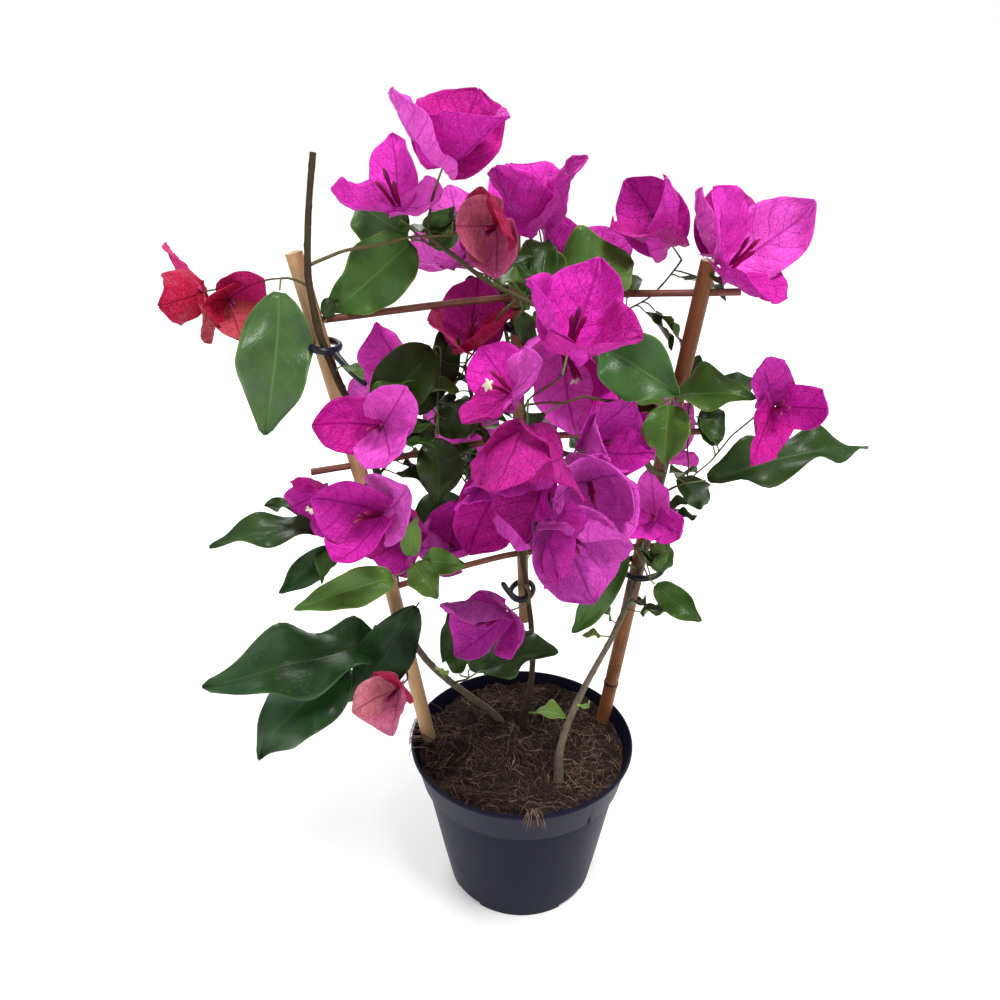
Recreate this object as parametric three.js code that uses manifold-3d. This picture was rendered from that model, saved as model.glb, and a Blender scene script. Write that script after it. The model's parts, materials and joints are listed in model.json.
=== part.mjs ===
import * as THREE from 'three';
import { mergeVertices } from 'three/addons/utils/BufferGeometryUtils.js';
import Module from 'manifold-3d';

// A young bougainvillea in a round nursery pot, trained up a fan of three
// bamboo canes with three cross sticks. Millimetres, +Z up, the pot's
// underside centred on the origin, and -Y to the front.

const wasm = await Module();
wasm.setup();

// ---------- driving dimensions ----------

const POT_HEIGHT = 127;
const RIM_RADIUS = 85;
const BASE_RADIUS = 57.5;
const BAND_HEIGHT = 30;
const BAND_STEP = 3;
const POT_WALL = 2.4;
const POT_FLOOR = 4;
const POT_SEGMENTS = 24;
const NOTCH = { width: 25, depth: 8, height: 3.2 };

const COMPOST_LEVEL = 115;
const COMPOST_BRIM = COMPOST_LEVEL - 3;
const COMPOST_ROUGHNESS = 3;
const COMPOST_HEAP = { x: -78, y: 8, height: 10, spread: 22 };

const CANE_RADIUS = 5.5;
const CANE_FOOT = 30;
const RUNG_RADIUS = 2.5;
const TIE_THICKNESS = 3;

const BLADE_THICKNESS = 1.6;
const STALK_RADIUS = 1.1;
const STALK_LENGTH = 14;
const KNOT_RADIUS = 2.5;

const LEAF_BOW = 0.06;
const LEAF_FOLD = 0.2;
const LEAF_WIDEST = 0.38;

const BRACT_LENGTH = 52;
const CUP_BOW = 0.09;
const CUP_SHOULDER = 38;
const CUP_SHOULDER_REACH = 0.74;
const CUP_SHOULDER_THICKNESS = 1.3;
const CUP_COLUMNS = 9;

// A cup's rows from its inner pole over the rim to its stalk: the share of the
// bract's length, and +1 on the inside or -1 on the outside. A share below
// nought is the stalk's foot.
const CUP_ROWS = [[0, 1], [0.4, 1], [0.75, 1], [1, 0], [0.75, -1], [0.4, -1], [0.03, -1], [-1, 0]];

// Neighbours keep this much clear space, and a spray may give way to those
// before it by a few of these steps.
const GAP = 0.35;
const GIVE_STEP = 4;
const GIVE_STEPS = 6;

// ---------- directions and solids ----------

const rad = THREE.MathUtils.degToRad;
const point = (place) => new THREE.Vector3(...place);

// A bearing of 0 faces the front, 90 the right and 180 the back.
function direction(bearing, rise) {
  const flat = Math.cos(rad(rise));
  return new THREE.Vector3(
    Math.sin(rad(bearing)) * flat, -Math.cos(rad(bearing)) * flat, Math.sin(rad(rise)));
}

const rightOf = (bearing) => new THREE.Vector3(Math.cos(rad(bearing)), Math.sin(rad(bearing)), 0);

function toSolid(geometry) {
  const plain = geometry.index ? geometry.toNonIndexed() : geometry.clone();
  plain.deleteAttribute('normal');
  plain.deleteAttribute('uv');
  const merged = mergeVertices(plain, 1e-4);
  return new wasm.Manifold(new wasm.Mesh({
    numProp: 3,
    vertProperties: new Float32Array(merged.attributes.position.array),
    triVerts: new Uint32Array(merged.index.array),
  }));
}

function toGeometry(solid) {
  const mesh = solid.getMesh();
  const geometry = new THREE.BufferGeometry();
  geometry.setAttribute('position', new THREE.BufferAttribute(new Float32Array(mesh.vertProperties), 3));
  geometry.setIndex([...mesh.triVerts]);
  geometry.computeVertexNormals();
  return geometry;
}

function largestBody(solid) {
  const bodies = solid.decompose().sort((a, b) => b.volume() - a.volume());
  return bodies[0];
}

// Every vertex of a three.js shape is carried to a new place.
function reshape(geometry, place) {
  const position = geometry.attributes.position;
  const vertex = new THREE.Vector3();
  for (let i = 0; i < position.count; i++) {
    vertex.fromBufferAttribute(position, i);
    const moved = place(vertex);
    position.setXYZ(i, moved.x, moved.y, moved.z);
  }
  return geometry;
}

// A limb is a cylinder bent along a smooth line, tapering from its foot to
// its end, with an optional flare at the foot.
function limb(places, footRadius, endRadius, { sides = 6, steps = 6, flare = 0, grow = 0 } = {}) {
  const curve = new THREE.CatmullRomCurve3(places.map(point));
  const frames = curve.computeFrenetFrames(steps);
  const shape = new THREE.CylinderGeometry(1, 1, 1, sides, steps);
  return toSolid(reshape(shape, (v) => {
    const along = THREE.MathUtils.clamp(v.y + 0.5, 0, 1);
    const row = Math.round(along * steps);
    const swelling = 1 + flare * Math.exp(-along * 18);
    const radius = THREE.MathUtils.lerp(footRadius, endRadius, along) * swelling + grow;
    const reach = along === 0 ? -grow : along === 1 ? grow : 0;
    return curve.getPointAt(along)
      .addScaledVector(frames.tangents[row], reach)
      .addScaledVector(frames.normals[row], v.x * radius)
      .addScaledVector(frames.binormals[row], -v.z * radius);
  }));
}

// A blade is a ball of four meridians pressed into a leaf: its rows run from
// the base to the tip, two meridians are its edges and two its faces.
function blade({ base, along, across, face, length, width, grow }) {
  const outline = (t) => t ** LEAF_WIDEST * (1 - t) ** (1 - LEAF_WIDEST);
  const shape = new THREE.SphereGeometry(1, 4, 4);
  return toSolid(reshape(shape, (v) => {
    const t = Math.acos(THREE.MathUtils.clamp(v.y, -1, 1)) / Math.PI;
    const ring = Math.sin(t * Math.PI);
    const edge = ring > 1e-6 ? v.x / ring : 0;
    const side = ring > 1e-6 ? v.z / ring : 0;
    const half = (width / 2 + grow) * outline(t) / outline(LEAF_WIDEST);
    const lift = LEAF_BOW * length * 4 * t * (1 - t) + LEAF_FOLD * half * Math.abs(edge);
    const reach = -grow + (length + 2 * grow) * t;
    return base.clone()
      .addScaledVector(along, reach)
      .addScaledVector(across, edge * half)
      .addScaledVector(face, lift + side * (BLADE_THICKNESS / 2 + grow));
  }));
}

// ---------- the assembly ----------

const model = new THREE.Group();
const placed = [];

const FINISHES = {
  pot: { color: 0x2b2b35, roughness: 0.55 },
  compost: { color: 0x3a2a20, roughness: 1 },
  cane: { color: 0xb08a5a, roughness: 0.6 },
  rung: { color: 0x7a4a38, roughness: 0.6 },
  tie: { color: 0x15161f, roughness: 0.5 },
  bark: { color: 0x4f4636, roughness: 0.8 },
  bloom: { color: 0xc0229c, roughness: 0.6 },
  leaf: { color: 0x2f5a2a, roughness: 0.45 },
};

function put(name, finish, solid, grown = solid) {
  const { color, roughness } = FINISHES[finish];
  const mesh = new THREE.Mesh(
    toGeometry(solid), new THREE.MeshStandardMaterial({ color, roughness, metalness: 0 }));
  mesh.name = name;
  model.add(mesh);
  placed.push({ solid, grown });
}

// ---------- pot and compost ----------

const bodySlope = (RIM_RADIUS - BAND_STEP - BASE_RADIUS - 2) / POT_HEIGHT;
const bodyRadius = (z) => BASE_RADIUS + bodySlope * z;
const bandFoot = POT_HEIGHT - BAND_HEIGHT;

function potSolid() {
  const outline = [
    [0, 0], [BASE_RADIUS, 0], [bodyRadius(bandFoot), bandFoot],
    [bodyRadius(bandFoot) + BAND_STEP, bandFoot + 2],
    [RIM_RADIUS - 1.5, POT_HEIGHT - 3], [RIM_RADIUS, POT_HEIGHT - 2], [RIM_RADIUS, POT_HEIGHT],
    [RIM_RADIUS - POT_WALL, POT_HEIGHT],
    [bodyRadius(bandFoot) - POT_WALL + 1, bandFoot],
    [BASE_RADIUS - POT_WALL, POT_FLOOR], [0, POT_FLOOR],
  ];
  const lathe = new THREE.LatheGeometry(outline.map(([r, z]) => new THREE.Vector2(r, z)), POT_SEGMENTS);
  let pot = toSolid(lathe.rotateX(Math.PI / 2));
  for (const bearing of [45, 135, 225, 315]) {
    const notch = new THREE.BoxGeometry(NOTCH.width, NOTCH.depth, NOTCH.height * 2);
    notch.translate(0, -BASE_RADIUS, 0).rotateZ(rad(bearing));
    pot = pot.subtract(toSolid(notch));
  }
  return pot;
}

// The compost fills the pot to an uneven top, humped against the left wall.
function compostSolid() {
  const foot = POT_FLOOR + GAP;
  const wall = (z) => {
    const top = RIM_RADIUS - POT_WALL;
    const mid = bodyRadius(bandFoot) - POT_WALL + 1;
    const low = BASE_RADIUS - POT_WALL;
    const inner = z > bandFoot
      ? mid + (top - mid) * (z - bandFoot) / (POT_HEIGHT - bandFoot)
      : low + (mid - low) * (z - POT_FLOOR) / (bandFoot - POT_FLOOR);
    return inner - GAP * 2;
  };
  const brim = wall(COMPOST_BRIM);
  const outline = [[0, foot], [wall(foot), foot], [wall(bandFoot), bandFoot], [brim, COMPOST_BRIM]];
  for (const share of [0.8, 0.52, 0.24, 0]) outline.push([brim * share, COMPOST_LEVEL]);
  const lathe = new THREE.LatheGeometry(outline.map(([r, z]) => new THREE.Vector2(r, z)), POT_SEGMENTS);
  lathe.rotateX(Math.PI / 2);
  return toSolid(reshape(lathe, (v) => {
    if (v.z < COMPOST_BRIM - 1) return v;
    const swell = Math.sin(v.x * 0.11 + 1) * Math.cos(v.y * 0.13) + 0.5 * Math.sin(v.x * 0.27 - v.y * 0.21);
    const away = Math.hypot(v.x - COMPOST_HEAP.x, v.y - COMPOST_HEAP.y) / COMPOST_HEAP.spread;
    const isEdge = Math.hypot(v.x, v.y) > brim - 1;
    v.z += COMPOST_ROUGHNESS * swell + COMPOST_HEAP.height * Math.exp(-away * away);
    if (isEdge) {
      v.x *= wall(v.z) / brim;
      v.y *= wall(v.z) / brim;
    }
    return v;
  }));
}

// ---------- canes, cross sticks and ties ----------

const CANES = {
  left: {
    places: [[-53, 2, CANE_FOOT], [-71, 2, 115], [-101, -3, 300], [-139, -10, 489]],
    radii: [CANE_RADIUS, CANE_RADIUS],
  },
  middle: {
    places: [[1, 36, 208], [-4, 37, 350], [-9, 36, 497]],
    radii: [CANE_RADIUS * 0.7, CANE_RADIUS * 0.9],
  },
  right: {
    places: [[48, 23, CANE_FOOT], [64.5, 30, 115], [89, 28, 300], [113, 21, 481]],
    radii: [CANE_RADIUS, CANE_RADIUS],
  },
};

function caneSolid({ places, radii }, grow = 0) {
  return limb(places, radii[0], radii[1], { sides: 8, steps: 5, grow });
}

// The point of a cane's centre line at a height.
function onCane({ places }, height) {
  const curve = new THREE.CatmullRomCurve3(places.map(point));
  let [low, high] = [0, 1];
  for (let i = 0; i < 30; i++) {
    const mid = (low + high) / 2;
    if (curve.getPoint(mid).z < height) low = mid;
    else high = mid;
  }
  return curve.getPoint(low);
}

// Each stick runs through the three canes, bowed back round the middle one,
// and its two ends stand out past the outer canes.
const RUNGS = {
  top: { heights: [448, 455, 461], ends: [12, 24] },
  middle: { heights: [352, 357, 366], ends: [31, 30] },
  low: { heights: [257, 267, 277], ends: [27, 20] },
};

function rungSolid({ heights, ends }, grow = 0) {
  const through = Object.values(CANES).map((cane, i) => onCane(cane, heights[i]));
  const [left, middle, right] = through;
  const start = left.clone().add(left.clone().sub(middle).setLength(ends[0]));
  const finish = right.clone().add(right.clone().sub(middle).setLength(ends[1]));
  const places = [start, left, middle, right, finish].map((p) => p.toArray());
  return limb(places, RUNG_RADIUS, RUNG_RADIUS, { sides: 5, steps: 8, grow });
}

// A tie is a soft loop round a cane and the stem beside it, with loose tails.
const TIES = {
  tie_left: {
    centre: [-124, -14, 434], radii: [9, 14], tilt: 8,
    tails: [[[-132, -18, 434], [-141, -20, 438]], [[-130, -27, 433], [-131, -29, 418]],
      [[-117, -22, 432], [-107, -26, 421], [-98, -26, 413]]],
  },
  tie_middle_upper: {
    centre: [-6, 36, 434], radii: [8, 8], tilt: 12,
    tails: [[[-12, 30, 432], [-20, 26, 424], [-27, 24, 417]], [[1, 31, 436], [5, 28, 448], [4, 28, 456]]],
  },
  tie_middle_lower: {
    centre: [-1, 30, 238], radii: [9, 14], tilt: -10,
    tails: [[[-6, 18, 238], [-12, 14, 247], [-15, 12, 254]], [[2, 17, 236], [3, 13, 226]]],
  },
  tie_right: {
    centre: [86, 19, 265], radii: [15, 17], tilt: -6,
    tails: [[[98, 9, 269], [108, 5, 276], [115, 4, 277]], [[96, 7, 262], [108, 2, 260], [113, 1, 252]]],
  },
};

function tieSolid({ centre, radii, tilt, tails }) {
  const half = TIE_THICKNESS / 2;
  const ring = new THREE.TorusGeometry(radii[0], half, 4, 12);
  ring.scale(1, radii[1] / radii[0], 1.4).rotateY(rad(tilt)).translate(...centre);
  let tie = toSolid(ring);
  for (const tail of tails) tie = tie.add(limb(tail, half, half * 1.2, { sides: 4, steps: 2 }));
  return tie;
}

// ---------- stems and boughs ----------

const BOUGHS = {
  stem_left: {
    places: [[-12, 31, 112], [-34, 26, 137], [-53, 20, 158], [-74, 12, 187], [-88, 8, 222], [-92, 7, 248]],
    radii: [3.6, 2.6], flare: 0.3,
  },
  bough_tall: {
    places: [[-92, 7, 249], [-93, 5, 292], [-97, -4, 340], [-107, -15, 388], [-123, -21, 432],
      [-129, -22, 480], [-122, -12, 544]],
    radii: [3, 1.9], flare: 0,
  },
  stem_middle: {
    places: [[-1, 23, 112], [8, 21, 170], [6, 23, 216], [0, 20, 262], [-3, 16, 292]],
    radii: [2.6, 2], flare: 0.4,
  },
  bough_middle: {
    places: [[-3, 16, 293], [-14, 8, 336], [-30, 12, 371], [-41, 26, 412]],
    radii: [1.9, 1.3], flare: 0,
  },
  stem_right: {
    places: [[28, -35, 112], [28, -31, 145], [48, -12, 188], [68, 4, 221], [83, 13, 265], [90, 6, 312],
      [91, -8, 350], [89, -14, 376]],
    radii: [3.6, 2.2], flare: 0.8,
  },
  bough_arching: {
    places: [[84, -16, 340], [74, -23, 371], [54, -30, 415], [37, -32, 437], [11, -14, 458],
      [-16, 0, 465], [-34, 0, 478], [-60, -2, 498]],
    radii: [2.2, 1.4], flare: 0,
  },
  bough_rear: {
    places: [[3, 27, 284], [8, 46, 318], [-2, 62, 372], [-16, 66, 430], [-20, 62, 468]],
    radii: [2.2, 1.2], flare: 0,
  },
};

const boughSolid = ({ places, radii, flare }, grow = 0) =>
  limb(places, radii[0], radii[1], { sides: 6, steps: places.length + 2, flare, grow });

// ---------- masses of blossom and leaf ----------

// A flower head: three papery bracts in a cup on a thin stalk. The head looks
// along its bearing and rise; its first bract stands at the spin and the other
// two a third of a turn apart, each leaning out by its own opening.
const bloom = (place, bearing, rise, spin, openings, size) => ({
  kind: 'bloom', place, bearing, rise, spin, openings, size,
});

// A leaf grows along its bearing and rise, and rolls about its midrib from
// lying face up.
const leaf = (place, bearing, rise, roll, length, width) => ({
  kind: 'leaf', place, bearing, rise, roll, length, width,
});

const SPRAYS = {
  bloom_far_left: { joint: [-190, 14, 464], parts: [
    bloom([-198, -5, 465], -85, -5, -150, [80, 50, 70], 0.9),
    bloom([-188, 6, 458], 25, -5, 50, [45, 25, 25], 0.8)] },
  bloom_top_left: { parts: [bloom([-79, 15, 512], -25, 50, -140, [45, 60, 65], 0.95)] },
  bloom_crest: { parts: [bloom([-49, 0, 531], 50, 60, 55, [50, 25, 50], 1.05)] },
  bloom_top_middle: { parts: [bloom([7, 30, 498], -35, 70, -50, [50, 35, 30], 1.1)] },
  bloom_salmon: { parts: [bloom([-19, -10, 504], -20, 0, 40, [35, 50, 25], 0.9)] },
  bloom_crimson: { parts: [bloom([-39, 40, 435], 25, 60, 140, [25, 40, 50], 0.95)] },
  bloom_right_rear: { parts: [bloom([93, 45, 487], -55, 45, -60, [45, 25, 25], 1)] },
  bloom_right_top: { joint: [112, 44, 466], parts: [
    bloom([114, 6, 478], 20, 40, 70, [45, 45, 30], 1.2),
    bloom([113, 50, 480], 20, 65, 35, [50, 50, 30], 1.05)] },
  bloom_star: { parts: [bloom([21, -100, 452], 20, 65, 35, [50, 45, 30], 1.05)] },
  bloom_left_of_middle: { parts: [bloom([-9, -40, 413], -40, 40, -175, [60, 75, 50], 0.75)] },
  bloom_rear: { joint: [46, 48, 432], parts: [
    bloom([24, 30, 425], 25, -40, -180, [25, 70, 25], 0.95),
    bloom([72, 25, 408], 25, -50, 40, [25, 55, 60], 0.85)] },
  bloom_heart: { parts: [bloom([1, -105, 414], 0, -55, -30, [30, 35, 50], 0.95)] },
  bloom_middle_low: { joint: [4, -44, 388], parts: [
    bloom([9, -75, 380], -50, -40, -140, [55, 35, 25], 0.95),
    bloom([-12, -50, 362], -10, -30, -20, [35, 25, 35], 1)] },
  bloom_front_low: { parts: [bloom([0, -84, 352], 25, -20, 40, [30, 45, 25], 1.05)] },
  bloom_right_of_middle: { joint: [26, -30, 366], parts: [
    bloom([36, -30, 374], 60, 25, 145, [25, 45, 25], 0.75),
    bloom([39, -50, 361], 0, 0, -75, [25, 30, 40], 0.85)] },
  bloom_by_cane: { parts: [bloom([88, -8, 323], -20, 30, 110, [40, 25, 45], 0.9)] },
  bloom_far_right: { parts: [bloom([153, -20, 400], 0, 15, -150, [45, 40, 25], 0.9)] },
  bloom_left_upper: { parts: [bloom([-87, -35, 390], 0, 10, 155, [25, 60, 45], 1.05)] },
  bloom_left_lower: { joint: [-98, -26, 356], parts: [
    bloom([-86, -60, 354], -35, 15, -65, [25, 60, 35], 0.9),
    bloom([-129, -20, 351], -30, -20, -115, [65, 55, 30], 0.65)] },
  bloom_left_shade: { joint: [-66, 16, 292], parts: [
    bloom([-84, -10, 314], -5, 0, 35, [40, 30, 25], 0.85),
    bloom([-50, 0, 288], 0, 40, 125, [25, 25, 25], 0.85)] },
  bloom_lowest: { parts: [bloom([-10, -40, 262], -60, -5, -40, [25, 75, 35], 0.9)] },
  bloom_pale: { parts: [bloom([-85, -50, 205], -20, 5, 20, [45, 25, 25], 0.85)] },
  bloom_back_high: { joint: [-26, 72, 462], parts: [
    bloom([-45, 80, 470], -160, 35, 10, [50, 45, 55], 1),
    bloom([30, 86, 462], 150, 30, 40, [55, 50, 45], 0.95)] },
  bloom_back_left: { joint: [-44, 66, 372], parts: [
    bloom([-84, 66, 384], -130, 15, 20, [50, 45, 55], 1),
    bloom([-44, 92, 336], -170, -5, 70, [55, 50, 45], 0.9)] },
  bloom_back_right: { joint: [36, 68, 356], parts: [
    bloom([34, 96, 372], 170, 10, 30, [50, 55, 45], 1),
    bloom([88, 62, 340], 125, 20, 80, [50, 45, 50], 0.9)] },

  leaves_far_left: { parts: [leaf([-147, -12, 465], -35, -75, -50, 88, 40)] },
  leaves_top_left: { joint: [-64, 2, 500], parts: [
    leaf([-72, 0, 500], -65, -35, -70, 70, 37),
    leaf([-75, 6, 502], -120, 25, -70, 46, 37),
    leaf([-62, -4, 506], 75, 40, 100, 24, 14),
    leaf([-62, 6, 498], 130, 10, 60, 24, 14)] },
  leaves_top: { joint: [2, 16, 464], parts: [
    leaf([21, 10, 465], 110, 20, 30, 52, 48),
    leaf([14, 20, 460], -110, 65, -70, 36, 33),
    leaf([-14, 15, 476], 65, -25, 70, 32, 13)] },
  leaves_right_upper: { parts: [leaf([45, -35, 439], 65, -25, 70, 52, 36)] },
  leaves_dark: { joint: [-58, 4, 384], parts: [
    leaf([-61, 20, 425], -60, -40, -60, 64, 36),
    leaf([-63, 25, 386], 150, 65, 30, 59, 20),
    leaf([-58, 5, 371], 100, 40, 70, 35, 25),
    leaf([-60, 0, 370], -75, 35, -80, 24, 16),
    leaf([-59, -5, 372], 10, -70, 0, 44, 28)] },
  leaves_inner: { joint: [-40, 14, 330], parts: [
    leaf([-40, 10, 337], 70, 45, 90, 40, 13),
    leaf([-45, 20, 318], -80, -25, -70, 39, 24),
    leaf([-43, 15, 338], 130, 5, 60, 24, 13)] },
  leaves_right: { joint: [90, -18, 384], parts: [
    leaf([93, -15, 384], 65, 10, 30, 48, 30),
    leaf([88, -25, 382], -10, -65, 0, 37, 27),
    leaf([85, -20, 383], -80, 5, -30, 24, 14),
    leaf([85, -15, 379], -100, -20, -30, 32, 17)] },
  leaves_right_behind: { joint: [112, 34, 384], parts: [
    leaf([108, 34, 389], 140, 60, 30, 30, 21),
    leaf([124, 26, 392], 110, 15, 60, 34, 18)] },
  leaves_far_right: { joint: [108, 4, 338], parts: [
    leaf([121, 2, 341], 100, 10, 30, 115, 33),
    leaf([102, 5, 341], 110, -40, 90, 37, 18)] },
  leaves_low_right: { joint: [88, -2, 268], parts: [
    leaf([92, -4, 264], 50, -20, 50, 41, 19),
    leaf([94, 0, 272], 90, 85, 80, 27, 16),
    leaf([72, 0, 290], -80, -60, -60, 75, 21)] },
  leaves_low_middle: { joint: [-40, 2, 178], parts: [
    leaf([-29, -5, 190], 75, 25, 30, 63, 32),
    leaf([-48, 10, 176], -40, 80, -130, 56, 20),
    leaf([-40, 10, 180], 100, 35, 60, 31, 17)] },
  leaves_low_left: { joint: [-90, -14, 226], parts: [
    leaf([-74, -20, 253], -50, -45, -50, 82, 34),
    leaf([-121, -35, 212], -60, -35, -50, 91, 42),
    leaf([-98, -25, 224], -65, 0, -30, 124, 47)] },
  leaves_new: { joint: [-72, -34, 292], parts: [
    leaf([-84, -40, 288], -60, -5, -60, 66, 22),
    leaf([-73, -40, 303], 55, 75, 130, 31, 12),
    leaf([-65, -40, 300], 70, 5, 60, 30, 16),
    leaf([-71, -42, 298], 45, -30, 30, 28, 19)] },
  leaves_left: { joint: [-124, -6, 304], parts: [
    leaf([-130, -15, 309], -70, 0, -30, 79, 24),
    leaf([-134, 2, 316], -100, 0, -30, 51, 16),
    leaf([-128, -10, 293], -60, -30, -60, 50, 19)] },
  leaves_back_high: { joint: [-18, 74, 430], parts: [
    leaf([-28, 80, 434], -120, 5, -20, 62, 34),
    leaf([-8, 84, 424], 150, -20, 10, 58, 32),
    leaf([-18, 80, 446], 170, 45, 0, 44, 26)] },
  leaves_back_low: { joint: [4, 52, 300], parts: [
    leaf([-12, 56, 296], -120, -15, -20, 66, 34),
    leaf([22, 58, 300], 115, 0, 20, 64, 34),
    leaf([4, 64, 288], 175, -35, 0, 62, 33)] },
};

// The head's three bracts make one cup: a ball whose upper half is the inside
// and whose lower half is the outside, its rim drawn out to three tips and its
// lower pole to the stalk.
function bloomSolid({ place, bearing, rise, spin, openings, size }, joint, grow) {
  const looks = direction(bearing, rise);
  const across = rightOf(bearing);
  const up = looks.clone().cross(across);
  const base = point(place);
  const foot = joint ?? base.clone().addScaledVector(looks, -STALK_LENGTH);
  const shape = new THREE.SphereGeometry(1, CUP_COLUMNS, CUP_ROWS.length - 1);
  return toSolid(reshape(shape, (v) => {
    const row = Math.round(Math.acos(THREE.MathUtils.clamp(v.y, -1, 1)) / Math.PI * (CUP_ROWS.length - 1));
    const [share, side] = CUP_ROWS[row];
    if (share < 0) return foot;
    if (share === 0) return base.clone().addScaledVector(looks, BLADE_THICKNESS / 2 + grow);
    const column = Math.round((1 - Math.atan2(v.z, -v.x) / (2 * Math.PI)) * CUP_COLUMNS) % CUP_COLUMNS;
    const lobe = Math.round(column / 3) % 3;
    const shift = column - 3 * Math.round(column / 3);
    const beside = openings[(lobe + shift + 3) % 3];
    const opening = rad(shift ? openings[lobe] * 0.7 + beside * 0.3 : openings[lobe]);
    const turn = rad(spin + lobe * 120 + shift * CUP_SHOULDER);
    const out = up.clone().multiplyScalar(Math.cos(turn)).addScaledVector(across, Math.sin(turn));
    const along = looks.clone().multiplyScalar(Math.cos(opening)).addScaledVector(out, Math.sin(opening));
    const face = looks.clone().multiplyScalar(Math.sin(opening)).addScaledVector(out, -Math.cos(opening));
    const length = BRACT_LENGTH * size * (shift ? CUP_SHOULDER_REACH : 1);
    const thickness = (shift ? CUP_SHOULDER_THICKNESS : BLADE_THICKNESS) / 2 + grow;
    return base.clone()
      .addScaledVector(along, share * length + grow * share)
      .addScaledVector(face, side * thickness - CUP_BOW * length * 4 * share * (1 - share));
  }));
}

function leafSolid({ place, bearing, rise, roll, length, width }, joint, grow) {
  const along = direction(bearing, rise);
  const flat = rightOf(bearing);
  const up = along.clone().cross(flat);
  const across = flat.clone().multiplyScalar(Math.cos(rad(roll))).addScaledVector(up, Math.sin(rad(roll)));
  const face = along.clone().cross(across);
  const base = point(place);
  const foot = joint ?? base.clone().addScaledVector(along, -STALK_LENGTH / 2);
  const stalk = limb([foot.toArray(), base.clone().addScaledVector(along, 2).toArray()],
    STALK_RADIUS, STALK_RADIUS, { sides: 3, steps: 1, grow });
  return stalk.add(blade({ base, along, across, face, length, width, grow }));
}

function spraySolid({ joint, parts }, give, grow = 0) {
  const meet = joint && point(joint).add(give);
  const knot = new THREE.OctahedronGeometry(KNOT_RADIUS + grow);
  const knots = meet ? [toSolid(knot.translate(...meet.toArray()))] : [];
  const solids = parts.map((part) => {
    const moved = { ...part, place: point(part.place).add(give).toArray() };
    return (part.kind === 'bloom' ? bloomSolid : leafSolid)(moved, meet, grow);
  });
  return [...knots, ...solids].reduce((whole, next) => whole.add(next));
}

// A spray gives way in depth first, then to the sides, until it is clear of
// everything placed before it.
function* giveWay() {
  const depth = direction(0, 24);
  const ways = [depth, depth.clone().negate(), new THREE.Vector3(0, 0, 1), new THREE.Vector3(0, 0, -1),
    new THREE.Vector3(1, 0, 0), new THREE.Vector3(-1, 0, 0)];
  yield new THREE.Vector3();
  for (let step = 1; step <= GIVE_STEPS; step++) {
    for (const way of ways.slice(0, 2)) yield way.clone().multiplyScalar(step * GIVE_STEP);
    if (step > 2) {
      for (const way of ways.slice(2)) yield way.clone().multiplyScalar((step - 1) * GIVE_STEP);
    }
  }
}

const shared = (a, b) => a.intersect(b).volume();
const boxesMeet = (a, b) => {
  const [p, q] = [a.boundingBox(), b.boundingBox()];
  return [0, 1, 2].every((i) => p.min[i] < q.max[i] && q.min[i] < p.max[i]);
};

function putSpray(name, spray) {
  let best;
  for (const give of giveWay()) {
    const grown = spraySolid(spray, give, GAP);
    const clash = placed.reduce(
      (sum, other) => sum + (boxesMeet(grown, other.solid) ? shared(grown, other.solid) : 0), 0);
    if (!best || clash < best.clash) best = { give, grown, clash };
    if (clash === 0) break;
  }
  let solid = spraySolid(spray, best.give);
  if (best.clash > 0) {
    for (const other of placed) if (boxesMeet(solid, other.grown)) solid = solid.subtract(other.grown);
  }
  put(name, name.split('_')[0] === 'bloom' ? 'bloom' : 'leaf', largestBody(solid), best.grown);
}

// ---------- putting it together ----------

const rungs = Object.entries(RUNGS).map(([name, rung]) =>
  ({ name: `rung_${name}`, solid: rungSolid(rung), grown: rungSolid(rung, GAP) }));

const canes = Object.entries(CANES).map(([name, cane]) => {
  let solid = caneSolid(cane);
  for (const rung of rungs) solid = solid.subtract(rung.grown);
  return { name: `cane_${name}`, solid, grown: caneSolid(cane, GAP) };
});

const boughs = [];
for (const [name, bough] of Object.entries(BOUGHS)) {
  let solid = boughSolid(bough);
  for (const other of [...canes, ...rungs, ...boughs]) {
    if (boxesMeet(solid, other.grown)) solid = solid.subtract(other.grown);
  }
  boughs.push({ name, solid: largestBody(solid), grown: boughSolid(bough, GAP) });
}

let compost = compostSolid();
for (const other of [...canes, ...boughs]) {
  if (boxesMeet(compost, other.grown)) compost = compost.subtract(other.grown);
}

put('pot', 'pot', potSolid());
put('compost', 'compost', largestBody(compost));
for (const { name, solid, grown } of canes) put(name, 'cane', solid, grown);
for (const { name, solid, grown } of rungs) put(name, 'rung', solid, grown);
for (const { name, solid, grown } of boughs) put(name, 'bark', solid, grown);
for (const [name, tie] of Object.entries(TIES)) {
  let solid = tieSolid(tie);
  for (const other of placed) if (boxesMeet(solid, other.grown)) solid = solid.subtract(other.grown);
  put(name, 'tie', largestBody(solid));
}
for (const [name, spray] of Object.entries(SPRAYS)) putSpray(name, spray);

export default model;
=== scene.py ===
import json
import math
import random

import bpy
import numpy as np
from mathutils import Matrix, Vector, noise
from mathutils.bvhtree import BVHTree


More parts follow.
